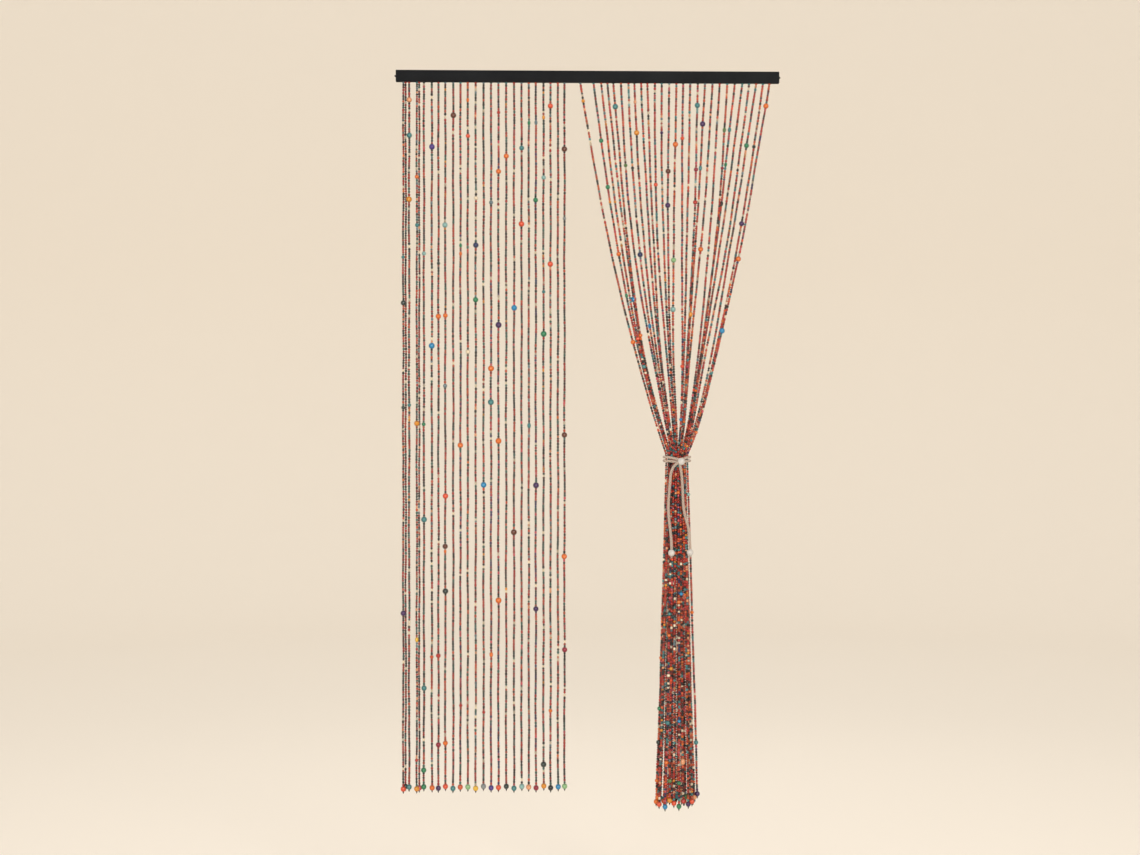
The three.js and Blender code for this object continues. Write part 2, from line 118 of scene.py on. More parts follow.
def smooth_line(points, count):
    """A line of count points through the given ones. Between two of them it is the cubic whose
    slope at each is half the way from the point before to the point after."""
    points = np.array(points)
    padded = np.vstack([2 * points[0] - points[1], points, 2 * points[-1] - points[-2]])
    place = np.linspace(0, len(points) - 1, count)
    first = np.minimum(place.astype(int), len(points) - 2)
    t = (place - first)[:, None]
    before, start, end, after = [padded[first + k] for k in range(4)]
    return (
        (2 * t**3 - 3 * t**2 + 1) * start
        + (t**3 - 2 * t**2 + t) * (end - before) / 2
        + (3 * t**2 - 2 * t**3) * end
        + (t**3 - t**2) * (after - start) / 2
    )


def unit(vectors):
    """Vectors of the same directions, each divided by its own length."""
    return vectors / np.linalg.norm(vectors, axis=-1, keepdims=True)


def rings_along(line, radius, sides, upright, turn=0.0, direction=None):
    """Rings of points round a line, or round many lines at once. Each ring stands square to the
    line: centre + radius * (cos(angle) * side + sin(angle) * lift), with side square to the
    line and to upright, and lift square to both."""
    if direction is None:
        direction = unit(np.gradient(line, axis=-2))
    side = unit(np.cross(direction, upright))
    lift = np.cross(side, direction)
    angle = np.arange(sides) * 2 * np.pi / sides + np.asarray(turn)[..., None, None]
    wide = np.asarray(radius)[..., None]
    across = (wide * np.cos(angle))[..., None] * side[..., None, :]
    up = (wide * np.sin(angle))[..., None] * lift[..., None, :]
    return line[..., None, :] + across + up


# A skin's own square in the baked map: the wall below, and the two ends as circles above it
MAP_MARGIN = 0.04
MAP_WALL_HEIGHT = 0.5
MAP_END_RADIUS = 0.18
MAP_END_PLACES = np.array([0.27, 0.73])
WEAVE_END_RADIUS = 0.1


def fill_map(mesh, name, wall_map, end_map):
    """A map of the mesh, from the places of the walls' corners and then of the ends' corners."""
    places = np.concatenate([wall_map.reshape(-1), end_map.reshape(-1)])
    mesh.uv_layers.new(name=name).data.foreach_set("uv", places.astype(np.float32))


def join_skins(name, rings, bake_cells=False, lengths=None):
    """One mesh of many closed skins. rings is skins x rows x sides x 3: neighbouring rows are
    joined by four-cornered faces, and a flat face shuts each end. With bake_cells each skin
    has a square of its own in the map. With lengths the map "weave" runs round and along."""
    skins, rows, sides = rings.shape[:3]
    index = np.arange(skins * rows * sides).reshape(skins, rows, sides)
    near, far = index[:, :-1], index[:, 1:]
    walls = np.stack([near, far, np.roll(far, -1, 2), np.roll(near, -1, 2)], axis=-1)
    ends = np.stack([index[:, 0], index[:, -1, ::-1]], axis=1)
    wall_count = skins * (rows - 1) * sides
    face_count = wall_count + 2 * skins
    corners = np.concatenate([walls.reshape(-1), ends.reshape(-1)]).astype(np.int32)
    end_starts = wall_count * 4 + np.arange(2 * skins) * sides
    starts = np.concatenate([np.arange(wall_count) * 4, end_starts]).astype(np.int32)
    is_wall = np.arange(face_count) < wall_count

    mesh = bpy.data.meshes.new(name)
    mesh.vertices.add(index.size)
    mesh.vertices.foreach_set("co", rings.reshape(-1).astype(np.float32))
    mesh.loops.add(len(corners))
    mesh.loops.foreach_set("vertex_index", corners)
    mesh.polygons.add(face_count)
    mesh.polygons.foreach_set("loop_start", starts)
    mesh.update(calc_edges=True)
    mesh.polygons.foreach_set("use_smooth", is_wall)
    # The end faces are marked for the beads' painted shade of the bore
    bore = mesh.attributes.new("bore", "FLOAT", "FACE")
    bore.data.foreach_set("value", (~is_wall).astype(np.float32))

    side, row = np.arange(sides), np.arange(rows - 1)
    around = np.stack([side, side, side + 1, side + 1], axis=-1) / sides
    wall_map = np.empty((skins, rows - 1, sides, 4, 2))
    end_map = np.empty((skins, 2, sides, 2))
    circle = side * 2 * np.pi / sides
    if bake_cells:
        down = np.stack([row, row + 1, row + 1, row], axis=-1) / (rows - 1)
        grid = math.ceil(math.sqrt(skins))
        cell = np.stack([np.arange(skins) % grid, np.arange(skins) // grid], axis=-1)
        wall_map[..., 0] = 1 - MAP_MARGIN - (1 - 2 * MAP_MARGIN) * around
        wall_map[..., 1] = MAP_MARGIN + MAP_WALL_HEIGHT * down[:, None]
        end_map[..., 0] = MAP_END_PLACES[:, None] + MAP_END_RADIUS * np.cos(circle)
        end_map[..., 1] = 1 - MAP_MARGIN - MAP_END_RADIUS + MAP_END_RADIUS * np.sin(circle)
        wall_map = (wall_map + cell[:, None, None, None]) / grid
        end_map = (end_map + cell[:, None, None]) / grid
        fill_map(mesh, "OFBake", wall_map, end_map)
    if lengths is not None:
        along = np.stack([lengths[:-1], lengths[1:], lengths[1:], lengths[:-1]], axis=-1)
        wall_map[..., 0] = around
        wall_map[..., 1] = along[:, None]
        end_map[..., 0] = 0.5 + WEAVE_END_RADIUS * np.cos(circle)
        end_map[..., 1] = WEAVE_END_RADIUS * np.sin(circle)
        fill_map(mesh, "weave", wall_map, end_map)

    piece = bpy.data.objects.new(name, mesh)
    bpy.context.collection.objects.link(piece)
    return piece


def arc_lengths(line):
    """How far along the line each of its points is."""
    return np.concatenate([[0.0], np.cumsum(np.linalg.norm(np.diff(line, axis=0), axis=1))])


def cord_piece(name, line, upright):
    """A round cord: rings of one radius along the line, the last ones at each end a little
    smaller, as a soft cord is where it is cut or goes into a hole."""
    lengths = arc_lengths(line)
    from_end = np.minimum(lengths, lengths[-1] - lengths)
    radius = CORD_RADIUS * np.minimum(
        1.0, CORD_CUT_SHARE + (1 - CORD_CUT_SHARE) * from_end / CORD_RADIUS
    )
    rings = rings_along(line, radius, CORD_SIDES, upright)
    return join_skins(name, rings[None], lengths=lengths)


def new_material(name):
    """A material that has its surface node and nothing else yet."""
    material = bpy.data.materials.new(name)
    material.use_nodes = True
    return material


def fill(material, node, inlets):
    """Gives the node's inlets their values. Another node's outlet is linked, and a colour is
    made opaque."""
    for inlet, value in inlets.items():
        if isinstance(value, bpy.types.NodeSocket):
            material.node_tree.links.new(value, node.inputs[inlet])
        elif isinstance(value, np.ndarray):
            node.inputs[inlet].default_value = (*value, 1.0)
        else:
            node.inputs[inlet].default_value = value


def surface(material, inlets):
    """Fills the inlets of the material's surface node."""
    fill(material, material.node_tree.nodes["Principled BSDF"], inlets)


def add_node(material, kind, inlets, **settings):
    """A new node of the material, with its settings made and its inlets filled."""
    node = material.node_tree.nodes.new(kind)
    for setting, value in settings.items():
        setattr(node, setting, value)
    fill(material, node, inlets)
    return node


def object_place(material):
    """Each point's place on the piece, in metres."""
    return add_node(material, "ShaderNodeTexCoord", {}).outputs["Object"]


def mesh_value(material, name, outlet):
    """What the mesh itself holds under the name, point by point or face by face."""
    return add_node(material, "ShaderNodeAttribute", {}, attribute_name=name).outputs[outlet]


def noise(material, place, scale, detail):
    """A cloudy pattern over the place: about scale clouds to the metre, and finer ones in them."""
    inlets = {"Vector": place, "Scale": scale, "Detail": detail}
    return add_node(material, "ShaderNodeTexNoise", inlets).outputs[0]


def reckon(material, operation, *terms):
    """One step of arithmetic on values, each a number or another node's outlet."""
    inlets = dict(enumerate(terms))
    return add_node(material, "ShaderNodeMath", inlets, operation=operation).outputs[0]


def to_range(material, value, seen, given):
    """The value carried over in a straight line from the seen range to the given one, and held
    at the given range's ends outside the seen one."""
    inlets = {
        "Value": value,
        "From Min": seen[0],
        "From Max": seen[1],
        "To Min": given[0],
        "To Max": given[1],
    }
    return add_node(material, "ShaderNodeMapRange", inlets).outputs["Result"]


def two_tone(material, value, span, colours):
    """A colour that goes from the first to the second as the value goes across the span."""
    node = add_node(material, "ShaderNodeValToRGB", {0: value})
    for stop, position, colour in zip(node.color_ramp.elements, span, colours):
        stop.position = position
        stop.color = (*colour, 1.0)
    return node.outputs["Color"]


def cover(material, under, over, share):
    """The under colour, with the share of the over colour on it."""
    inlets = {"Factor": share, "A": under, "B": over}
    return add_node(material, "ShaderNodeMix", inlets, data_type="RGBA").outputs["Result"]


def darken(material, colour, share):
    """The colour times the share."""
    inlets = {0: colour, "Scale": share}
    return add_node(material, "ShaderNodeVectorMath", inlets, operation="SCALE").outputs["Vector"]


def raise_surface(material, height, strength, distance):
    """Shades the surface as if its points stood up by height times distance."""
    inlets = {"Height": height, "Strength": strength, "Distance": distance}
    surface(material, {"Normal": add_node(material, "ShaderNodeBump", inlets).outputs["Normal"]})


def cord_material():
    """Braided cotton: two sets of strands that cross, each a wave of the place round the cord
    plus or minus the place along it. Its colour is darker in the grooves, which is painted
    shade, and a fine fuzz covers it."""
    material = new_material("cord_cotton")
    surface(material, {"Roughness": 0.85, "Sheen Weight": 0.35, "Sheen Roughness": 0.5})
    weave = add_node(material, "ShaderNodeUVMap", {}, uv_map="weave").outputs["UV"]
    place = add_node(material, "ShaderNodeSeparateXYZ", {0: weave})

    def wave(sign):
        """The sine of whole turns: strands times the way round, plus or minus along / pitch."""
        lean = reckon(material, "MULTIPLY", place.outputs["Y"], sign * 2 * math.pi / BRAID_PITCH)
        turns = BRAID_STRANDS * 2 * math.pi
        return reckon(
            material, "SINE", reckon(material, "MULTIPLY_ADD", place.outputs["X"], turns, lean)
        )

    braid = reckon(material, "MAXIMUM", wave(1), wave(-1))
    fuzz = noise(material, object_place(material), 2600.0, 3.0)
    raise_surface(material, reckon(material, "MULTIPLY_ADD", fuzz, 0.5, braid), 0.6, 0.0004)
    # The darker colour in the grooves between the strands is painted shade
    tone = to_range(material, braid, (-1.0, 1.0), (0.0, 1.0))
    pale = linear(CORD_COLOUR)
    surface(material, {"Base Color": cover(material, pale * BRAID_GROOVE_PAINTED_SHADE, pale, tone)})
    return material


def finished(piece, material, slot, *nodes):
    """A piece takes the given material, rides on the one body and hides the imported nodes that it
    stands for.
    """
    piece.data.materials.append(material)
    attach(piece, "root")
    if nodes:
        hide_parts(*nodes)
    return piece


cotton = cord_material()
left_line = smooth_line(LEFT_ROUTE, CORD_STEPS)
right_line = smooth_line(RIGHT_ROUTE, CORD_STEPS)
left_cord = finished(
    cord_piece("free_cord_left", left_line, (0.0, 1.0, 0.0)), cotton, "tie_cord", "tie_cord_left"
)
right_cord = finished(
    cord_piece("free_cord_right", right_line, (0.0, 1.0, 0.0)), cotton, "tie_cord", "tie_cord_right"
)


# The tie's three balls are turned from wood, drilled, and painted off-white. The slider is drilled
# across for the cords. Each end ball is drilled downwards and kept on by the knot below it.
SLIDER_RADIUS = 0.0089
END_BALL_RADIUS = 0.008
BALL_SIDES = 36
BALL_ROWS = 22
BALL_COLOUR = "c6c3c0"
BALL_SOILING = np.array([0.8, 0.76, 0.7])
BORE_RADIUS = 0.0029

# The bore's walls near each rim: how far out, of the ball's radius, and how wide, of the bore's
BORE_DEPTHS = np.array([0.72, 0.93])
BORE_WIDTHS = np.array([0.9, 0.94])

# An end knot: into the ball, below it, and its thickness from the top down
KNOT_TOP = 0.0006
KNOT_FOOT = -0.0042
KNOT_RADIUS = 0.0026
KNOT_SHAPE = np.array([0.7, 1.0, 1.12, 1.05, 0.86, 0.7, 0.62, 0.66, 0.5])


def ball_piece(name, centre, radius, axis, upright):
    """A drilled ball: a sphere's rings from one rim of the bore to the other, then a short
    way down the bore at each end. A ring at angle a from the axis is radius * sin(a) wide."""
    rim = math.asin(BORE_RADIUS / radius)
    angle = np.linspace(rim, np.pi - rim, BALL_ROWS)
    along = np.concatenate([BORE_DEPTHS, np.cos(angle), -BORE_DEPTHS[::-1]]) * radius
    skin_widths = np.sin(angle) * radius / BORE_RADIUS
    wide = np.concatenate([BORE_WIDTHS, skin_widths, BORE_WIDTHS[::-1]])
    axis = unit(np.array(axis))
    line = np.array(centre) - along[:, None] * axis
    direction = np.broadcast_to(axis, line.shape)
    rings = rings_along(line, wide * BORE_RADIUS, BALL_SIDES, upright, direction=direction)
    return join_skins(name, rings[None])


def ball_material():
    """Satin paint on turned wood, with dirt in small patches. The same cloudy grain makes the
    roughness and the height a little uneven."""
    material = new_material("ball_paint")
    grain = noise(material, object_place(material), 240.0, 4.0)
    pale = linear(BALL_COLOUR)
    surface(material, {
        "Base Color": two_tone(material, grain, (0.3, 0.6), (pale * BALL_SOILING, pale)),
        "Roughness": to_range(material, grain, (0.0, 1.0), (0.3, 0.5)),
        "Coat Weight": 0.25,
        "Coat Roughness": 0.2,
    })
    raise_surface(material, grain, 0.2, 0.0002)
    return material


ball_paint = ball_material()
finished(
    ball_piece("slider_ball", SLIDER_CENTRE, SLIDER_RADIUS, (1.0, 0.0, 0.0), (0.0, 0.0, 1.0)),
    ball_paint, "tie_balls", "tie_slider",
)
for end_side in ("left", "right"):
    node = "tie_end_ball_" + end_side
    ball_low, ball_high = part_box(node)
    ball_centre = (np.array(ball_low) + np.array(ball_high)) / 2
    ball = ball_piece("end_ball_" + end_side, ball_centre, END_BALL_RADIUS, (0, 0, -1), (0, 1, 0))
    finished(ball, ball_paint, "tie_balls", node)
    below = ball_centre[2] - END_BALL_RADIUS
    knot_heights = np.linspace(below + KNOT_TOP, below + KNOT_FOOT, len(KNOT_SHAPE))
    knot_line = ball_centre * [1, 1, 0] + knot_heights[:, None] * [0, 0, 1]
    knot_rings = rings_along(knot_line, KNOT_RADIUS * KNOT_SHAPE, CORD_SIDES, (0, 1, 0))
    knot = join_skins("end_knot_" + end_side, knot_rings[None], lengths=arc_lengths(knot_line))
    finished(knot, cotton, "tie_cord")


# The tie's two turns: the same cord, laid round the gathered strands one above the other.
# They go through the slider's bore, which pulls them tight, so they come forward to it.
BUNDLE_X = 0.209
BUNDLE_Y = -0.006
TURN_HALF_WIDTH = 0.0302
TURN_HALF_DEPTH = 0.011
TURN_CORNER = 0.0075
TURN_LIFT = 0.003
TURN_LIFT_RUN = 0.009
TURN_INSIDE = 0.45
TURN_STEPS = 150
TURN_CORNER_STEPS = 12

# Each turn's height over the slider's middle, beside the slider and at the bundle's sides
TURN_HEIGHTS = {"upper": (0.0030, 0.0102), "lower": (-0.0028, 0.0014)}


def turn_line(at_slider, at_sides, count):
    """A rounded rectangle round the bundle, from inside the slider's left to inside its right.
    On the front its height runs as a quarter sine from the slider out to the bundle's sides."""
    shift = SLIDER_CENTRE[0] - BUNDLE_X
    straight_x = TURN_HALF_WIDTH - TURN_CORNER
    straight_y = TURN_HALF_DEPTH - TURN_CORNER
    quarter = np.linspace(0, np.pi / 2, TURN_CORNER_STEPS)
    corners = [
        (-straight_x, -straight_y, -np.pi / 2 - quarter),
        (-straight_x, straight_y, np.pi - quarter),
        (straight_x, straight_y, np.pi / 2 - quarter),
        (straight_x, -straight_y, -quarter),
    ]
    outline = [np.array([[shift, -TURN_HALF_DEPTH]])]
    for x, y, angle in corners:
        outline.append([x, y] + TURN_CORNER * np.stack([np.cos(angle), np.sin(angle)], axis=-1))
    outline.append(outline[0])
    outline = np.vstack(outline)
    walked = arc_lengths(outline)
    inside = TURN_INSIDE * SLIDER_RADIUS
    place = np.linspace(inside, walked[-1] - inside, count)
    x = np.interp(place, walked, outline[:, 0])
    y = np.interp(place, walked, outline[:, 1])
    in_front = y < 0
    sideways = np.abs(x - shift)
    widest = TURN_HALF_WIDTH + np.where(x < shift, shift, -shift)
    rise = np.where(in_front, np.sin(np.pi / 2 * np.minimum(1, sideways / widest)), 1.0)
    beside = np.clip(1 - (sideways - SLIDER_RADIUS) / TURN_LIFT_RUN, 0, 1)
    y = y - TURN_LIFT * np.where(in_front, beside, 0.0)
    z = SLIDER_CENTRE[2] + at_slider + (at_sides - at_slider) * rise
    return np.stack([BUNDLE_X + x, BUNDLE_Y + y, z], axis=-1)


for turn_name, (at_slider, at_sides) in TURN_HEIGHTS.items():
    turn_path = turn_line(at_slider, at_sides, TURN_STEPS)
    turn_cord = cord_piece("turn_" + turn_name, turn_path, (0.0, 0.0, 1.0))
    finished(turn_cord, cotton, "tie_cord", "tie_turn_" + turn_name)


# The rail is one long bar with softened edges, painted satin black. A groove along its
# underside takes the threads' knots. A small dark screw head stands on each end.
RAIL_LENGTH = 0.9
RAIL_HALF_HEIGHT = 0.0135
RAIL_HALF_DEPTH = 0.006
GROOVE_HALF_WIDTH = 0.0035
GROOVE_DEPTH = 0.005
RAIL_EDGE = 0.0008
RAIL_COLOUR = "131518"
RAIL_TONES = (0.75, 1.3)
DUST_COLOUR = "6d6a66"
STUD_RADIUS = 0.0022
STUD_REACH = 0.0032
STUD_SIDES = 24

# A stud's rings, as shares of its reach and of its radius
STUD_OUT = np.array([0.0, 0.125, 0.1875, 0.375, 0.6875, 0.875, 0.96875, 1.0])
STUD_WIDE = np.array([0.62, 0.62, 1.0, 1.0, 0.94, 0.72, 0.4, 0.12])


def rail_material():
    """Satin black paint: a slow drift of the tone along the bar, an orange-peel unevenness in
    the height, fine scuffs in the roughness, and a greyer film of dust on what faces up."""
    material = new_material("rail_paint")
    place = object_place(material)
    black = linear(RAIL_COLOUR)
    drift = noise(material, place, 9.0, 5.0)
    tone = two_tone(material, drift, (0.35, 0.7), [black * share for share in RAIL_TONES])
    normal = add_node(material, "ShaderNodeNewGeometry", {}).outputs["Normal"]
    facing = add_node(material, "ShaderNodeSeparateXYZ", {0: normal}).outputs["Z"]
    dust = to_range(material, facing, (0.6, 1.0), (0.0, 0.35))
    scuffs = noise(material, place, 60.0, 8.0)
    surface(material, {
        "Base Color": cover(material, tone, linear(DUST_COLOUR), dust),
        "Roughness": to_range(material, scuffs, (0.3, 0.7), (0.4, 0.56)),
        "Specular IOR Level": 0.1,
    })
    raise_surface(material, noise(material, place, 700.0, 2.0), 0.12, 0.0003)
    return material


rail_paint = rail_material()
rail_section = np.array([
    [RAIL_HALF_DEPTH, -RAIL_HALF_HEIGHT],
    [RAIL_HALF_DEPTH, RAIL_HALF_HEIGHT],
    [-RAIL_HALF_DEPTH, RAIL_HALF_HEIGHT],
    [-RAIL_HALF_DEPTH, -RAIL_HALF_HEIGHT],
    [-GROOVE_HALF_WIDTH, -RAIL_HALF_HEIGHT],
    [-GROOVE_HALF_WIDTH, -RAIL_HALF_HEIGHT + GROOVE_DEPTH],
    [GROOVE_HALF_WIDTH, -RAIL_HALF_HEIGHT + GROOVE_DEPTH],
    [GROOVE_HALF_WIDTH, -RAIL_HALF_HEIGHT],
])
rail_ends = np.array([RAIL_LENGTH / 2, -RAIL_LENGTH / 2])
rail_rings = np.empty((1, 2, len(rail_section), 3))
rail_rings[..., 0] = rail_ends[:, None]
rail_rings[..., 1:] = rail_section + [-RAIL_HALF_DEPTH, 0.0]
rail_bar = join_skins("rail_bar", rail_rings)
rail_bar.data.polygons.foreach_set("use_smooth", np.zeros(len(rail_bar.data.polygons), dtype=bool))
softened = rail_bar.modifiers.new("softened", "BEVEL")
softened.width = RAIL_EDGE
softened.segments = 3
softened.limit_method = "ANGLE"
softened.harden_normals = True
finished(rail_bar, rail_paint, "rail_paint", "rail")

for stud_side, outward in (("left", -1.0), ("right", 1.0)):
    stud_x = outward * (RAIL_LENGTH / 2 + STUD_REACH * STUD_OUT)
    stud_line = stud_x[:, None] * [1, 0, 0] + [0, -RAIL_HALF_DEPTH, 0]
    stud_rings = rings_along(stud_line, STUD_RADIUS * STUD_WIDE, STUD_SIDES, (0, 0, 1))
    stud = join_skins("stud_" + stud_side, stud_rings[None])
    finished(stud, rail_paint, "stud_metal", "end_stud_" + stud_side)


# The strands: beads threaded end to end on thin cord, cut bamboo tubes, barrels and little
# round wood beads, all dipped in glossy paint. Now and then a big bead comes between them,
# and each strand ends in a big bead that sits on a small dark stop bead.
UNDERSIDE = -RAIL_HALF_HEIGHT
SMALL_RADIUS = 0.00295
SMALL_SIDES = 7
SMALL_ROWS = 4
SMALL_ALONG = np.array([0.0, 0.22, 0.78, 1.0])
SMALL_SPACE = 0.0003
SMALL_JITTER = 0.00009
RADIUS_RANGE = (0.93, 1.05)
TONE_RANGE = (0.65, 1.35)
BIG_SIDES = 12
BIG_ROWS = 7
BIG_RIM = math.radians(20)
ROUND_LENGTH = 0.96
OVAL_LENGTH = 1.35
OVAL_WIDTH = 0.92
STOP_DIAMETER = 0.0038
STOP_LENGTH = 0.0030
TOP_BEAD_RADIUS = 0.0031
TOP_BEAD_LENGTH = 0.0042
TOP_BEAD_TAPER = 0.4
TOP_PAINTS = ["teal", "red", "pine", "brick", "slate"]
THREAD_RADIUS = 0.0006
THREAD_SIDES = 6
TOP_KNOT_RADIUS = 0.0015
LAST_KNOT_RADIUS = 0.0011

# The lengths of small beads and how often each comes, and the same for the width of their ends
SMALL_LENGTHS = np.array([0.0042, 0.0056, 0.0072])
SMALL_ODDS = np.array([0.28, 0.42, 0.30])
SMALL_ENDS = np.array([0.6, 0.48, 0.36])
SMALL_END_ODDS = np.array([0.3, 0.4, 0.3])

# The dips, by the names that the lists of beads use
PAINTS = {
    "ink": "1b110e", "maroon": "561916", "pine": "25332f", "teal": "3a787a", "turquoise": "82aaa6",
    "rust": "982016", "clay": "b04424", "sage": "35584e", "stone": "565246",
    "red": "a8291e", "brick": "c4522c", "orange": "d2661a", "coral": "d24a28",
    "amber": "cf8620", "yellow": "dcae34", "cream": "dccbb0", "peach": "d8966c",
    "rose": "c04a58", "crimson": "8a1730", "plum": "3a1a50", "violet": "46307e",
    "navy": "1f2c54", "blue": "1c7fb0", "slate": "62757c", "grey": "7e8486",
    "green": "247850", "moss": "52703d", "leaf": "86b07c", "brown": "5a2c1a", "black": "101112",
}

# The odds that a dark bead follows a warm one, and that a warm one follows a dark one
STRAIGHT_TURNS = (0.62, 0.64)
TIED_TURNS = (0.42, 0.62)

# Each mix of small beads: its odds of a turn, then how often each warm paint comes among the
# warm ones and each dark or cool one among those, in parts
MIXES = {
    "dark": (
        STRAIGHT_TURNS,
        {"rust": 58, "clay": 22, "rose": 5, "cream": 4, "maroon": 8},
        {"ink": 52, "pine": 14, "sage": 18, "stone": 8},
    ),
    "green": (
        STRAIGHT_TURNS,
        {"rust": 52, "clay": 22, "amber": 3, "cream": 6, "maroon": 8},
        {"ink": 40, "pine": 16, "sage": 28, "stone": 10},
    ),
    "warm": (
        STRAIGHT_TURNS,
        {"rust": 50, "clay": 32, "orange": 8, "cream": 4, "maroon": 6},
        {"ink": 52, "pine": 16, "sage": 16, "stone": 8},
    ),
    "pale": (
        STRAIGHT_TURNS,
        {"rust": 48, "clay": 22, "peach": 7, "cream": 10, "maroon": 6},
        {"ink": 40, "pine": 14, "sage": 20, "slate": 16},
    ),
    "purple": (
        STRAIGHT_TURNS,
        {"rust": 54, "clay": 18, "rose": 9, "cream": 4, "crimson": 8},
        {"ink": 40, "plum": 12, "navy": 10, "sage": 16},
    ),
    "tied_red": (
        TIED_TURNS,
        {"red": 48, "brick": 26, "coral": 8, "rose": 7, "cream": 5},
        {"ink": 40, "maroon": 14, "pine": 14, "teal": 14, "slate": 12},
    ),
    "tied_teal": (
        TIED_TURNS,
        {"red": 42, "brick": 26, "peach": 7, "amber": 4, "cream": 6},
        {"ink": 36, "maroon": 12, "pine": 12, "teal": 22, "slate": 14},
    ),
    "tied_orange": (
        TIED_TURNS,
        {"red": 40, "brick": 30, "orange": 11, "peach": 5, "cream": 4},
        {"ink": 42, "maroon": 16, "pine": 12, "teal": 16, "brown": 12},
    ),
    "tied_pale": (
        TIED_TURNS,
        {"red": 38, "brick": 22, "peach": 9, "rose": 8, "cream": 11},
        {"ink": 34, "maroon": 10, "turquoise": 12, "teal": 14, "slate": 18},
    ),
    "tied_plum": (
        TIED_TURNS,
        {"red": 42, "brick": 22, "rose": 12, "coral": 8, "cream": 5},
        {"ink": 34, "plum": 14, "navy": 12, "teal": 18, "maroon": 10},
    ),
}


def read_accents(text):
    """The big beads of one strand. Each is its drop below the rail and its diameter, in
    millimetres, and its paint. A paint with a star is an oval bead."""
    accents = []
    for entry in text.split(","):
        if entry.strip():
            drop, diameter, paint = entry.split()
            accents.append((int(drop) / 1000, float(diameter) / 1000, paint.strip("*"), "*" in paint))
    return accents


def paint_runs(mix, count, rng):
    """Paint for each of count beads. Warm paints and dark ones take turns: a dark bead comes
    after a warm one, and a warm one after a dark one, at the mix's two odds. In each kind the
    paints come as often as the mix says, and each bead's tone differs a little."""
    (to_dark, to_warm), *kinds = MIXES[mix]
    warm = rng.random() < 0.5
    is_warm = []
    for draw in rng.random(count):
        warm = draw >= to_dark if warm else draw < to_warm
        is_warm.append(warm)
    picked = []
    for paints in kinds:
        odds = np.array(list(paints.values()), dtype=float)
        colours = np.array([linear(PAINTS[name]) for name in paints])
        picked.append(colours[rng.choice(len(odds), size=count, p=odds / odds.sum())])
    colours = np.where(np.array(is_warm)[:, None], *picked)
    return np.clip(colours * rng.uniform(*TONE_RANGE, (count, 1)), 0, 1)


def thread_strand(line, radius, accents, end_bead, end_paint, mix, rng):
    """The beads of one strand. Small beads of assorted lengths fill each stretch between two
    big ones, drawn at random and scaled to fit it. Returns the small beads and the big ones, each
    as start and end on the line, radius, shape and paint. A small bead's shape is the width
    of its ends as a share, and a big one's is how much it tapers."""
    walked = arc_lengths(line)
    drops = UNDERSIDE - line[:, 2]
    top_paint = rng.choice(TOP_PAINTS)
    rows = [(0.0, TOP_BEAD_LENGTH, TOP_BEAD_RADIUS, TOP_BEAD_TAPER, top_paint)]
    for drop, diameter, paint, oval in accents:
        middle = np.interp(drop, drops, walked)
        length = diameter * (OVAL_LENGTH if oval else ROUND_LENGTH)
        width = diameter * (OVAL_WIDTH if oval else 1.0)
        rows.append((middle - length / 2, middle + length / 2, width / 2, 0.0, paint))
    foot = walked[-1] + end_bead / 2
    rows.append((foot - end_bead, foot, end_bead / 2, 0.0, end_paint))
    rows.append((foot, foot + STOP_LENGTH, STOP_DIAMETER / 2, 0.0, "black"))
    rows.sort(key=lambda row: row[0])
    # From the foot of the first bead, each pair of edges is a stretch between big beads
    stops = [edge for row in rows for edge in row[:2]][1:-3]
    starts, ends = [], []
    for start, end in zip(stops[0::2], stops[1::2]):
        count = max(1, round((end - start) / float(SMALL_LENGTHS @ SMALL_ODDS)))
        lengths = rng.choice(SMALL_LENGTHS, size=count, p=SMALL_ODDS)
        edges = start + np.concatenate([[0.0], np.cumsum(lengths)]) * (end - start) / lengths.sum()
        starts.append(edges[:-1])
        ends.append(edges[1:] - SMALL_SPACE)
    starts, ends = np.concatenate(starts), np.concatenate(ends)

    # The end bead and the stop bead reach past the line's last point
    longer = np.vstack([line, line[-1] + unit(line[-1] - line[-2]) * 2 * end_bead])
    walked = arc_lengths(longer)

    def on_line(place):
        """The points that are so far along the line."""
        return np.stack([np.interp(place, walked, longer[:, k]) for k in range(3)], axis=-1)

    count = len(starts)
    jitter = rng.normal(0, SMALL_JITTER, (count, 3)) * [1, 1, 0]
    small = {
        "start": on_line(starts) + jitter,
        "end": on_line(ends) - jitter,
        "radius": radius(on_line(starts)[:, 2]) * rng.uniform(*RADIUS_RANGE, count),
        "shape": rng.choice(SMALL_ENDS, size=count, p=SMALL_END_ODDS),
        "paint": paint_runs(mix, count, rng),
    }
    big = {
        "start": on_line(np.array([row[0] for row in rows])),
        "end": on_line(np.array([row[1] for row in rows])),
        "radius": np.array([row[2] for row in rows]),
        "shape": np.array([row[3] for row in rows]),
        "paint": np.array([linear(PAINTS[row[4]]) for row in rows]),
    }
    return small, big


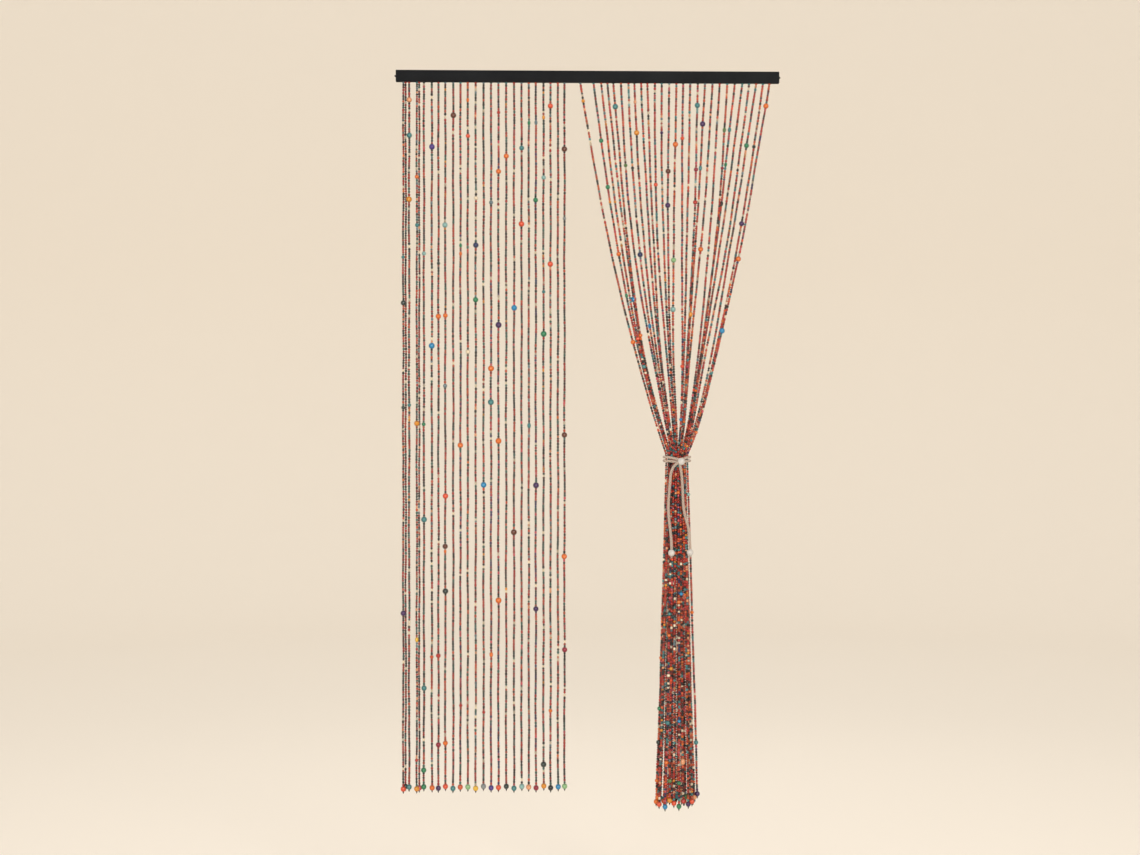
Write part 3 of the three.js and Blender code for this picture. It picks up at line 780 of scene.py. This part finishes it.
def bead_piece(name, bead_lists, sides, rows, rng):
    """One mesh of many beads. A small bead has four rings: the inner two are as wide as the
    bead, its ends a share of that. A big bead's rings follow a circle from one rim of its
    bore to the other: sin(angle) * (1 + taper * cos(angle)) wide. The attributes are each
    bead's paint, and how near its ends a point is."""
    beads = {key: np.concatenate([some[key] for some in bead_lists]) for key in bead_lists[0]}
    shape = beads["shape"][:, None]
    if rows == SMALL_ROWS:
        along = SMALL_ALONG
        width = np.hstack([shape, np.ones_like(shape), np.ones_like(shape), shape])
    else:
        angle = np.linspace(BIG_RIM, math.pi - BIG_RIM, rows)
        along = 0.5 - 0.5 * np.cos(angle) / math.cos(BIG_RIM)
        width = np.sin(angle) * (1 + shape * np.cos(angle))
    start, end = beads["start"][:, None], beads["end"][:, None]
    line = start + along[:, None] * (end - start)
    direction = np.broadcast_to(unit(end - start), line.shape)
    turn = rng.uniform(0, 2 * np.pi, len(line))
    rings = rings_along(
        line, width * beads["radius"][:, None], sides, (0.0, 1.0, 0.0), turn, direction
    )
    piece = join_skins(name, rings, bake_cells=True)
    paint = np.ones((len(line), rows * sides, 4), dtype=np.float32)
    paint[..., :3] = beads["paint"][:, None]
    layer = piece.data.attributes.new("paint", "FLOAT_COLOR", "POINT")
    layer.data.foreach_set("color", paint.reshape(-1))
    # How near its ends a point is: it places the worn specks and the painted shade towards the ends
    near_end = np.repeat(np.abs(2 * along - 1), sides)
    layer = piece.data.attributes.new("edge", "FLOAT", "POINT")
    layer.data.foreach_set("value", np.tile(near_end, len(line)).astype(np.float32))
    return piece


BARE_WOOD = "a8835a"
# Painted shade on the beads' flat end faces, where the bore is dark
BORE_PAINTED_SHADE = "20160f"


def bead_material(name, gloss, coat, wear):
    """Glossy paint on wood: the bead's own paint, darker along a fine grain, with painted shade
    towards the ends where the beads meet, worn through to the bare wood in specks there, and
    the flat end faces painted dark as the shade in the bore."""
    material = new_material(name)
    place = object_place(material)
    along_grain = {"Vector": place, "Scale": (1.0, 1.0, 0.2)}
    stretched = add_node(material, "ShaderNodeMapping", along_grain).outputs["Vector"]
    grain = noise(material, stretched, 2200.0, 3.0)
    specks = noise(material, place, 900.0, 5.0)
    edge = mesh_value(material, "edge", "Fac")

    # The grain's fine streaks make the paint darker and lighter: the wood's own tone
    shade = to_range(material, grain, (0.3, 0.7), (0.72, 1.12))
    # Painted shade: the paint darkens towards each bead's ends, where the beads meet
    painted_end_shade = to_range(material, edge, (0.4, 1.0), (1.0, 0.6))
    painted = darken(material, mesh_value(material, "paint", "Color"), shade)
    end_shaded = darken(material, painted, painted_end_shade)
    worn = to_range(material, reckon(material, "MULTIPLY", specks, edge), (0.52, 0.62), (0.0, wear))
    shaded_and_worn = cover(material, end_shaded, linear(BARE_WOOD), worn)
    # The flat end faces take the painted shade of the bore
    surface(material, {
        "Base Color": cover(material, shaded_and_worn, linear(BORE_PAINTED_SHADE), mesh_value(material, "bore", "Fac")),
        "Roughness": to_range(material, specks, (0.0, 1.0), (gloss, gloss + 0.25)),
        "Specular IOR Level": 0.4,
        "Coat Weight": coat,
        "Coat Roughness": 0.1,
    })
    raise_surface(material, grain, 0.25, 0.0001)
    return material


# The thread's dark and light stripes: painted shade and light along the twist of its plies
THREAD_PAINTED_PLY_SHADING = ("3b2a22", "8a6a55")


def thread_material():
    """Waxed brown thread with painted shade and light in fine slanting stripes, as its plies turn."""
    material = new_material("waxed_thread")
    inlets = {"Vector": object_place(material), "Scale": 420.0, "Distortion": 1.5}
    twist = add_node(material, "ShaderNodeTexWave", inlets, bands_direction="DIAGONAL").outputs[0]
    ply_shading = [linear(tone) for tone in THREAD_PAINTED_PLY_SHADING]
    surface(material, {"Base Color": two_tone(material, twist, (0.0, 1.0), ply_shading), "Roughness": 0.6})
    return material


# The thread's points above a strand's root, and those below its line's last point
THREAD_TOP = [0.0034, 0.0016]
THREAD_FOOT = [-0.0078, -0.0094, -0.0104, -0.0112]


def longer_thread(line, count):
    """The thread of a strand: a few points down out of the groove, then along the strand, then
    past the end bead and its stop bead to the last knot."""
    picks = np.linspace(0, len(line) - 1, count).astype(int)
    top = line[0] + np.outer(THREAD_TOP, [0, 0, 1])
    foot = line[-1] + np.outer(THREAD_FOOT, [0, 0, 1])
    return np.vstack([top, line[picks], foot])


def thread_piece(name, lines):
    """The threads of many strands: thin rings along each line, swollen at the top where each
    is knotted in the rail's groove, and past the last bead where it is knotted again."""
    radius = np.full(lines.shape[:2], THREAD_RADIUS)
    radius[:, :len(THREAD_TOP)] = TOP_KNOT_RADIUS
    radius[:, -2] = LAST_KNOT_RADIUS
    return join_skins(
        name, rings_along(lines, radius, THREAD_SIDES, (0.0, 1.0, 0.0)), bake_cells=True
    )


def swayed(x, y, fall, reach, phase):
    """A course moved by slow waves, of which the finer has 0.6 of the height: sideways
    reach * (sin(17 fall + phase) + 0.6 sin(53 fall + phase)), and in depth with 13 and 47."""
    x = x + reach * (np.sin(fall * 17 + phase[0]) + 0.6 * np.sin(fall * 53 + phase[1]))
    y = y + reach * (np.sin(fall * 13 + phase[2]) + 0.6 * np.sin(fall * 47 + phase[3]))
    return x, y


def finish_half(half, small, big, threads, strands_each, nodes, rng):
    """The pieces of one half: its small beads, so many strands to a mesh, then its big beads
    and its threads. All of them together stand for the half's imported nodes."""
    for part, first in enumerate(range(0, len(small), strands_each), start=1):
        strands = small[first:first + strands_each]
        beads = bead_piece(f"{half}_beads_{part}", strands, SMALL_SIDES, SMALL_ROWS, rng)
        finished(beads, small_paint, "painted_beads", *nodes)
    big_beads = bead_piece(half + "_big_beads", big, BIG_SIDES, BIG_ROWS, rng)
    finished(big_beads, big_paint, "painted_beads", *nodes)
    finished(thread_piece(half + "_threads", np.array(threads)), waxed, "painted_beads", *nodes)


small_paint = bead_material("small_bead_paint", gloss=0.2, coat=0.45, wear=0.3)
big_paint = bead_material("big_bead_paint", gloss=0.12, coat=0.6, wear=0.15)
waxed = thread_material()


# The straight half: 23 places along the rail, of which the first and third hold a pair, one
# strand a little in front of the other. The front strand of a pair carries the big beads.
STRAIGHT_FIRST = -0.434
STRAIGHT_PITCH = 0.01722
STRAIGHT_END = 1.653
STRAIGHT_END_SPREAD = 0.0025
STRAIGHT_END_WAVE = 2.4
STRAIGHT_END_BEAD = 0.0128
STRAIGHT_SWAY = 0.0005
STRAIGHT_SWAY_START = 0.1
TWIN_SPACING = 0.0052
TWIN_DEPTH = 0.0046
TWIN_TURN = 0.16
TWIN_RADIUS = 0.00275
STEPS = 900

# How far each place is off its even spacing, in millimetres
STRAIGHT_SHIFTS = [
    4.2, -2.2, 1.4, -2, -0.8, -2.5, -3.8, -2.3, -2.6, -2.8, -1.5, -0.2,
    0, 0.1, 1, 2.3, 2.6, 2.4, 1.6, 2.4, 1.8, 1.9, 0,
]

# Place, side in its pair or 0, mix, paint of the end bead, and the big beads
STRAIGHT_STRANDS = [
    (0, -1, "warm", "coral", "411 8.5 teal, 518 13 pine, 763 9 pine, 1244 13.5 plum"),
    (0, 1, "dark", "pine", ""),
    (1, 0, "green", "teal", "42 13 peach, 125 13 teal, 275 14 amber, 757 9 teal"),
    (2, -1, "pale", "amber", "223 10 orange, 336 10 teal, 800 13 amber, 1306 9 yellow*, 1588 8 red"),
    (2, 1, "pale", "rose", ""),
    (3, 0, "dark", "green",
     "402 10 turquoise, 802 9.5 green, 1025 14 teal, 1420 13 teal, 1612 13 green"),
    (4, 0, "pale", "orange", "152 14 violet, 618 14.5 blue, 1347 9 brick"),
    (5, 0, "dark", "plum", "425 8 pine, 549 13 orange, 1344 11.5 red, 1553 12.5 crimson"),
    (6, 0, "green", "coral",
     "335 13 turquoise, 547 11.5 orange, 712 10 slate, 970 13.5 coral, 1088 13 brown,"
     "1100 7 orange*, 1193 14 pine, 1549 12 orange"),
    (7, 0, "dark", "teal", "78 14 brown"),
    (8, 0, "purple", "brick", "383 7.5 green*, 402 8 orange*, 851 13.5 orange, 1461 8.5 red"),
    (9, 0, "warm", "leaf", "42 8 orange*, 126 10.5 coral, 632 11 cream"),
    (10, 0, "pale", "yellow", "272 10 cream, 382 13.5 navy, 510 13 green"),
    (11, 0, "green", "grey", "944 14 blue, 1477 8 red"),
    (12, 0, "purple", "violet", "282 10 slate, 671 14.5 orange, 750 14.5 teal, 1342 9.5 orange*"),
    (13, 0, "purple", "coral",
     "71 8.5 red, 209 12.5 orange, 569 15 plum, 841 14.5 orange, 1215 14.5 orange"),
    (14, 0, "green", "pine", "173 12.5 orange"),
    (15, 0, "dark", "teal", "529 14 blue, 1055 14.5 brown"),
    (16, 0, "dark", "turquoise", "154 12 teal, 332 14 coral"),
    (17, 0, "pale", "peach", "95 8 green*, 805 9.5 teal*"),
    (18, 0, "purple", "crimson", "94 8.5 slate*, 276 12 green, 945 14.5 plum, 1235 13 plum"),
    (19, 0, "green", "amber",
     "82 8 amber*, 223 11 turquoise, 491 8.5 teal, 590 14.5 green, 1600 14 pine"),
    (20, 0, "pale", "black", "55 13 coral, 426 13.5 coral, 1474 9.5 orange"),
    (21, 0, "warm", "blue", ""),
    (22, 0, "dark", "leaf",
     "156 14 brown, 319 8.5 grey, 827 13.5 brown, 1112 13.5 orange, 1331 13 crimson"),
]


def straight_line(place, side, rng):
    """A plumb line below its place. Two of a pair start side by side and part in depth on the
    way down, one in front. Slow waves of about a millimetre keep it from ruler-straight."""
    uneven = STRAIGHT_END_SPREAD * math.sin(place * STRAIGHT_END_WAVE + side)
    z = np.linspace(UNDERSIDE, UNDERSIDE - STRAIGHT_END + uneven, STEPS)
    drop = UNDERSIDE - z
    phase = rng.uniform(0, 2 * np.pi, 4)
    sway = STRAIGHT_SWAY * np.minimum(1, drop / STRAIGHT_SWAY_START)
    x = STRAIGHT_FIRST + place * STRAIGHT_PITCH + STRAIGHT_SHIFTS[place] / 1000
    x = x + side * TWIN_SPACING / 2
    y = BUNDLE_Y + side * TWIN_DEPTH * np.minimum(1, drop / TWIN_TURN)
    return np.stack([*swayed(x, y, drop, sway, phase), z], axis=-1)


BEAD_SEED = 9790

rng = np.random.default_rng(BEAD_SEED)
straight_small, straight_big, straight_threads = [], [], []
for place, side, mix, end_paint, accents in STRAIGHT_STRANDS:
    line = straight_line(place, side, rng)
    small_radius = TWIN_RADIUS if side else SMALL_RADIUS
    small, big = thread_strand(
        line, lambda height: small_radius, read_accents(accents), STRAIGHT_END_BEAD, end_paint,
        mix, rng,
    )
    straight_small.append(small)
    straight_big.append(big)
    straight_threads.append(longer_thread(line, count=30))

finish_half(
    "straight", straight_small, straight_big, straight_threads,
    strands_each=9, nodes=["strands_straight"], rng=rng,
)


# The tied half: 27 strands run from the rail to the waist, where the tie squeezes them into
# three rows, and spread again below it. On the way down they draw together in loose groups.
TAIL_END_BEAD = 0.0122
SLIM_RADIUS = 0.0025
SQUEEZE_HEIGHT = -0.895
SQUEEZE_REACH = 0.22
TIED_FIRST = -0.019
TIED_SECOND = 0.0125
TIED_PITCH = 0.01663
FAN_LAG = 0.45
FAN_ROW_LEAD = 2.2
ROOT_SPREAD = 0.003
BELLY_SPREAD = 0.0035
BELLY_SHIFT = 0.0025
WAIST_TOP = -0.886
WAIST_LOW = -0.905
WAIST_PITCH = 0.00497
WAIST_ROW_PITCH = 0.005
END_ROW_PITCH = 0.0115
END_ROW_SHIFT = 0.0018
END_MIDDLE = -1.699
TAIL_FIRST = -0.0485
TAIL_PITCH = 0.0035
TAIL_GAP = 0.003
TAIL_EVENNESS = 0.85
TAIL_GAPS_AFTER = (4, 26)
TAIL_BOW = 0.002
TIED_SWAY = 0.00045
TIED_SWAY_START = 0.08

# Neighbours that draw together: how many at a time, first in small clusters, then in groups
CLUSTERS = [1, 1, 1, 3, 1, 1, 1, 2, 1, 1, 1, 1, 1, 2, 1, 1, 2, 1, 2, 1, 1]
CLUSTERING = 0.5
GROUPS = [5, 5, 4, 5, 5, 3]
GROUPING = 0.4

# Row at the waist from front to back, pitch at the ends, and each end's height in millimetres
WAIST_ROWS = [
    (-1, 0.0112, [-7, -13, 2, -5, -12, 0, -7, -1]),
    (0, 0.0100, [-3, 7, -2, 8, -1, 9, 0, 8, -1, 7, 15]),
    (1, 0.0112, [3, -5, 5, -4, 4, -5, 4, -3]),
]

# Shift off its even place at the rail and sideways bulge half way to the waist, both in
# millimetres, mix, paint of the end bead, and the big beads, strand by strand along the rail
TIED_STRANDS = [
    (4, 1, "tied_orange", "orange",
     "43 9 amber, 609 12 orange, 1351 9 orange, 1470 11 green, 1549 11 pine, 1639 10 orange"),
    (3, -2, "tied_red", "orange",
     "136 11 green, 245 11 green, 280 7 amber, 402 11.5 orange, 500 8 green*"),
    (4, -4, "tied_teal", "coral", "280 7 amber, 570 8 red, 601 10 coral, 667 10 teal"),
    (2, -5, "tied_pale", "teal", "508 14 blue"),
    (-1, -6, "tied_orange", "brick", "56 13.5 teal, 593 10 orange"),
    (0, -10, "tied_plum", "blue",
     "194 9 moss, 1247 9 teal, 1297 9.5 orange, 1391 9 cream, 1502 11 teal, 1595 11 orange"),
    (1, -10, "tied_pale", "grey", "200 8 ink, 403 13 navy, 571 9 blue*"),
    (-2, -7, "tied_teal", "orange", "45 8 peach*, 117 13 amber"),
    (-3, -4, "tied_red", "amber", "1375 9.5 amber, 1582 10 red, 1638 11 moss"),
    (-5, -5, "tied_teal", "leaf", ""),
    (-4, -9, "tied_plum", "red", "239 10 coral"),
    (-5, -7, "tied_teal", "coral", "117 8 plum, 507 8 slate"),
    (-4, -7, "tied_red", "brown", "207 12.5 brown, 287 13 plum"),
    (-4, -5, "tied_orange", "teal", "144 13 orange, 416 12.5 leaf, 532 13 turquoise"),
    (-5, -1, "tied_plum", "green",
     "130 9.5 coral, 666 10 coral, 791 8 blue, 962 9 orange, 1219 10 orange, 1498 9 blue,"
     "1643 10 green"),
    (-5, 1, "tied_teal", "slate", ""),
    (-4, 3, "tied_pale", "cream", "52 13 teal, 203 10.5 crimson, 280 11 red"),
    (-4, -1, "tied_orange", "red",
     "96 13.5 plum, 200 9 teal*, 544 10 amber*, 667 10 crimson, 1200 9.5 blue, 1593 12 peach*"),
    (-3, 1, "tied_orange", "amber", "390 12.5 orange"),
    (-3, 3, "tied_red", "moss", ""),
    (-2, 6, "tied_orange", "plum", "110 9 moss*, 200 8 crimson"),
    (-1, -2, "tied_plum", "leaf", "109 9 teal*, 191 8 green*, 283 9 ink*"),
    (0, -5, "tied_orange", "brick", ""),
    (-1, -2, "tied_teal", "coral", ""),
    (-1, -4, "tied_teal", "navy", "146 12 green"),
    (-2, 1, "tied_orange", "peach", "149 9 pine, 239 7 slate, 330 12.5 plum"),
    (-4, -2, "tied_plum", "plum",
     "53 13 orange, 413 13 orange, 582 14 blue, 821 8 orange, 967 9 turquoise, 1244 9 orange,"
     "1550 11 teal"),
]


def lean_together(fan_x, sizes, lean):
    """How far each strand moves sideways to lie closer to the others of its group: lean times
    its way to the group's mean, or to the outermost strand's in the two outer groups."""
    bounds = np.cumsum([0] + sizes)
    goals = np.concatenate([
        np.repeat(fan_x[a:b].mean(axis=0, keepdims=True), b - a, axis=0)
        for a, b in zip(bounds[:-1], bounds[1:])
    ])
    goals[:sizes[0]] = fan_x[0]
    goals[-sizes[-1]:] = fan_x[-1]
    return (goals - fan_x) * lean


def tied_lines(rng):
    """The lines of all gathered strands at once, as strands x steps x 3. With d the share of
    the drop to the waist, the sideways run is d - lag * d * (1 - d) of the way, so a strand
    sags, plus bulge * 4 * d * (1 - d). The outer strands start wider, by
    root spread * cos(4 pi d) * (1 - 2 d)^2 in the upper half, and the beads' bulk pushes the
    strands apart above the tie, by sin(pi * d^7). They lean together by sin(pi * d^1.3)^2 in
    clusters and by sin(pi * d^3.2) in groups. Below the waist they spread evenly, apart from a
    gap after the fourth and before the last, and a strand may bow. Where the tie holds them
    they hardly sway."""
    slots = []
    for row, end_pitch, heights in WAIST_ROWS:
        for index, height in enumerate(heights):
            slots.append((index - (len(heights) - 1) / 2, row, end_pitch, height / 1000))
    slot, row, end_pitch, height = np.array(sorted(slots))[:, :, None].transpose(1, 0, 2)
    rank = np.arange(len(TIED_STRANDS))[:, None]
    top = (rank - 1) * TIED_PITCH + TIED_SECOND
    top[0] = TIED_FIRST
    shift, bulge = np.array([strand[:2] for strand in TIED_STRANDS]).T[:, :, None] / 1000
    top = top + shift
    step = np.linspace(0, 1, STEPS)
    z = UNDERSIDE + (END_MIDDLE + height - UNDERSIDE) * step
    drop = np.clip((UNDERSIDE - z) / (UNDERSIDE - WAIST_TOP), 0, 1)
    share = drop - FAN_LAG * drop * (1 - drop)
    below = np.clip((WAIST_LOW - z) / (WAIST_LOW - END_MIDDLE), 0, None)

    fan_x = top + (BUNDLE_X + slot * WAIST_PITCH - top) * share + bulge * 4 * drop * (1 - drop)
    outer = slot / slot.max()
    upper = np.clip(1 - 2 * drop, 0, 1)
    fan_x = fan_x + ROOT_SPREAD * outer * np.cos(4 * np.pi * drop) * upper ** 2
    fan_x = fan_x + (BELLY_SPREAD * outer + BELLY_SHIFT) * np.sin(np.pi * drop ** 7)
    fan_x = fan_x + lean_together(fan_x, CLUSTERS, CLUSTERING * np.sin(np.pi * drop ** 1.3) ** 2)
    fan_x = fan_x + lean_together(fan_x, GROUPS, GROUPING * np.sin(np.pi * drop ** 3.2))

    spread = slot * end_pitch + row * END_ROW_SHIFT
    gaps = sum(rank >= strands_before for strands_before in TAIL_GAPS_AFTER)
    even = TAIL_FIRST + TAIL_PITCH * rank + TAIL_GAP * gaps
    spread = spread + (even - spread) * TAIL_EVENNESS
    bow = rng.uniform(-TAIL_BOW, TAIL_BOW, rank.shape) * np.sin(np.pi * np.minimum(1, below * 0.9))
    tail_x = BUNDLE_X + slot * WAIST_PITCH * (1 - below) + spread * below + bow
    x = np.where(below > 0, tail_x, fan_x)
    y = BUNDLE_Y + row * np.where(
        below > 0, WAIST_ROW_PITCH + (END_ROW_PITCH - WAIST_ROW_PITCH) * below,
        WAIST_ROW_PITCH * np.minimum(1, FAN_ROW_LEAD * share),
    )
    room = np.clip(np.where(below > 0, below * 1.4, 1.3 * (1 - share)), 0.06, 1)
    sway = TIED_SWAY * room * np.minimum(1, drop / TIED_SWAY_START)
    phase = rng.uniform(0, 2 * np.pi, (4, *rank.shape))
    x, y = swayed(x, y, UNDERSIDE - z, sway, phase)
    return np.stack([x, y, np.broadcast_to(z, x.shape)], axis=-1)


def squeezed_radius(height):
    """The slim beads come together where the tie squeezes the strands: the radius goes from
    slim to full, as the distance from the waist over its reach."""
    away = np.clip(np.abs(height - SQUEEZE_HEIGHT) / SQUEEZE_REACH, 0, 1)
    return SLIM_RADIUS + (SMALL_RADIUS - SLIM_RADIUS) * away


tied_small, tied_big, tied_threads = [], [], []
for line, (_, _, mix, end_paint, accents) in zip(tied_lines(rng), TIED_STRANDS):
    small, big = thread_strand(
        line, squeezed_radius, read_accents(accents), TAIL_END_BEAD, end_paint, mix, rng
    )
    tied_small.append(small)
    tied_big.append(big)
    tied_threads.append(longer_thread(line, count=60))

finish_half(
    "tied", tied_small, tied_big, tied_threads,
    strands_each=7, nodes=["strands_fan", "strands_tail"], rng=rng,
)


# The studio: a pale floor that sweeps up into a round wall. The light that shapes the beads
# comes from the viewer's upper right, a weaker one from the left and one from behind. The
# strongest stands at the camera and gives the gloss.
FLOOR_HEIGHT = -1.95
FLOOR_RADIUS = 5.5
SWEEP = 2.2
SWEEP_STEPS = 24
WALL_TOP = 4.6
BOWL_SIDES = 96
FLOOR_COLOUR = "f8f2e9"
SKY_COLOUR = "fbf5ec"
SKY_STRENGTH = 0.92

bend = np.linspace(0, np.pi / 2, SWEEP_STEPS)
bowl_out = np.concatenate([[0.01], FLOOR_RADIUS + SWEEP * np.sin(bend), [FLOOR_RADIUS + SWEEP]])
bowl_up = np.concatenate([[0.0], SWEEP * (1 - np.cos(bend)), [WALL_TOP]]) + FLOOR_HEIGHT
bowl_turn = np.arange(BOWL_SIDES) * 2 * np.pi / BOWL_SIDES
bowl = np.stack([
    bowl_out[:, None] * np.cos(bowl_turn),
    bowl_out[:, None] * np.sin(bowl_turn),
    np.broadcast_to(bowl_up[:, None], (len(bowl_up), BOWL_SIDES)),
], axis=-1)
bowl_index = np.arange(len(bowl_up) * BOWL_SIDES).reshape(-1, BOWL_SIDES)
inner, outer = bowl_index[:-1], bowl_index[1:]
bowl_faces = np.stack([inner, outer, np.roll(outer, -1, 1), np.roll(inner, -1, 1)], axis=-1)
bowl_faces = bowl_faces.reshape(-1, 4).tolist() + [bowl_index[0].tolist()]
floor_mesh = bpy.data.meshes.new("floor")
floor_mesh.from_pydata(bowl.reshape(-1, 3).tolist(), [], bowl_faces)
floor_mesh.polygons.foreach_set("use_smooth", np.ones(len(floor_mesh.polygons), dtype=bool))
floor = bpy.data.objects.new("floor", floor_mesh)
bpy.context.collection.objects.link(floor)
floor_paint = new_material("floor_paint")
surface(floor_paint, {"Base Color": linear(FLOOR_COLOUR), "Roughness": 0.9})
floor_mesh.materials.append(floor_paint)

# Name, place, diameter, watts and colour
LIGHTS = [
    ("key", (1.9, -3.5, 0.9), 1.6, 11.0, "fff8f0"),
    ("fill", (-2.6, -2.4, -0.2), 2.2, 3.8, "f2f6ff"),
    ("gloss", (-0.2, -4.1, -0.8), 1.3, 20.0, "ffffff"),
    ("back", (0.6, 3.0, 1.4), 2.0, 4.4, "fff8f0"),
]
LIGHT_TARGET = np.array([0.0, 0.0, -0.8])
LIGHT_SPREAD = math.radians(100)

for light_name, spot, size, power, colour in LIGHTS:
    light = bpy.data.lights.new(light_name, "AREA")
    light.shape = "DISK"
    light.size = size
    light.energy = power
    light.color = linear(colour)
    light.spread = LIGHT_SPREAD
    lamp = bpy.data.objects.new(light_name, light)
    aim = LIGHT_TARGET - spot
    lamp.location = spot
    lamp.rotation_euler = (
        math.atan2(math.hypot(aim[0], aim[1]), -aim[2]), 0.0, math.atan2(aim[1], aim[0]) - math.pi / 2,
    )
    lamp.visible_camera = False
    bpy.context.collection.objects.link(lamp)

world = bpy.data.worlds.new("studio")
world.use_nodes = True
sky = world.node_tree.nodes["Background"]
fill(world, sky, {"Color": linear(SKY_COLOUR), "Strength": SKY_STRENGTH})
bpy.context.scene.world = world
bpy.context.scene.view_settings.view_transform = "Standard"
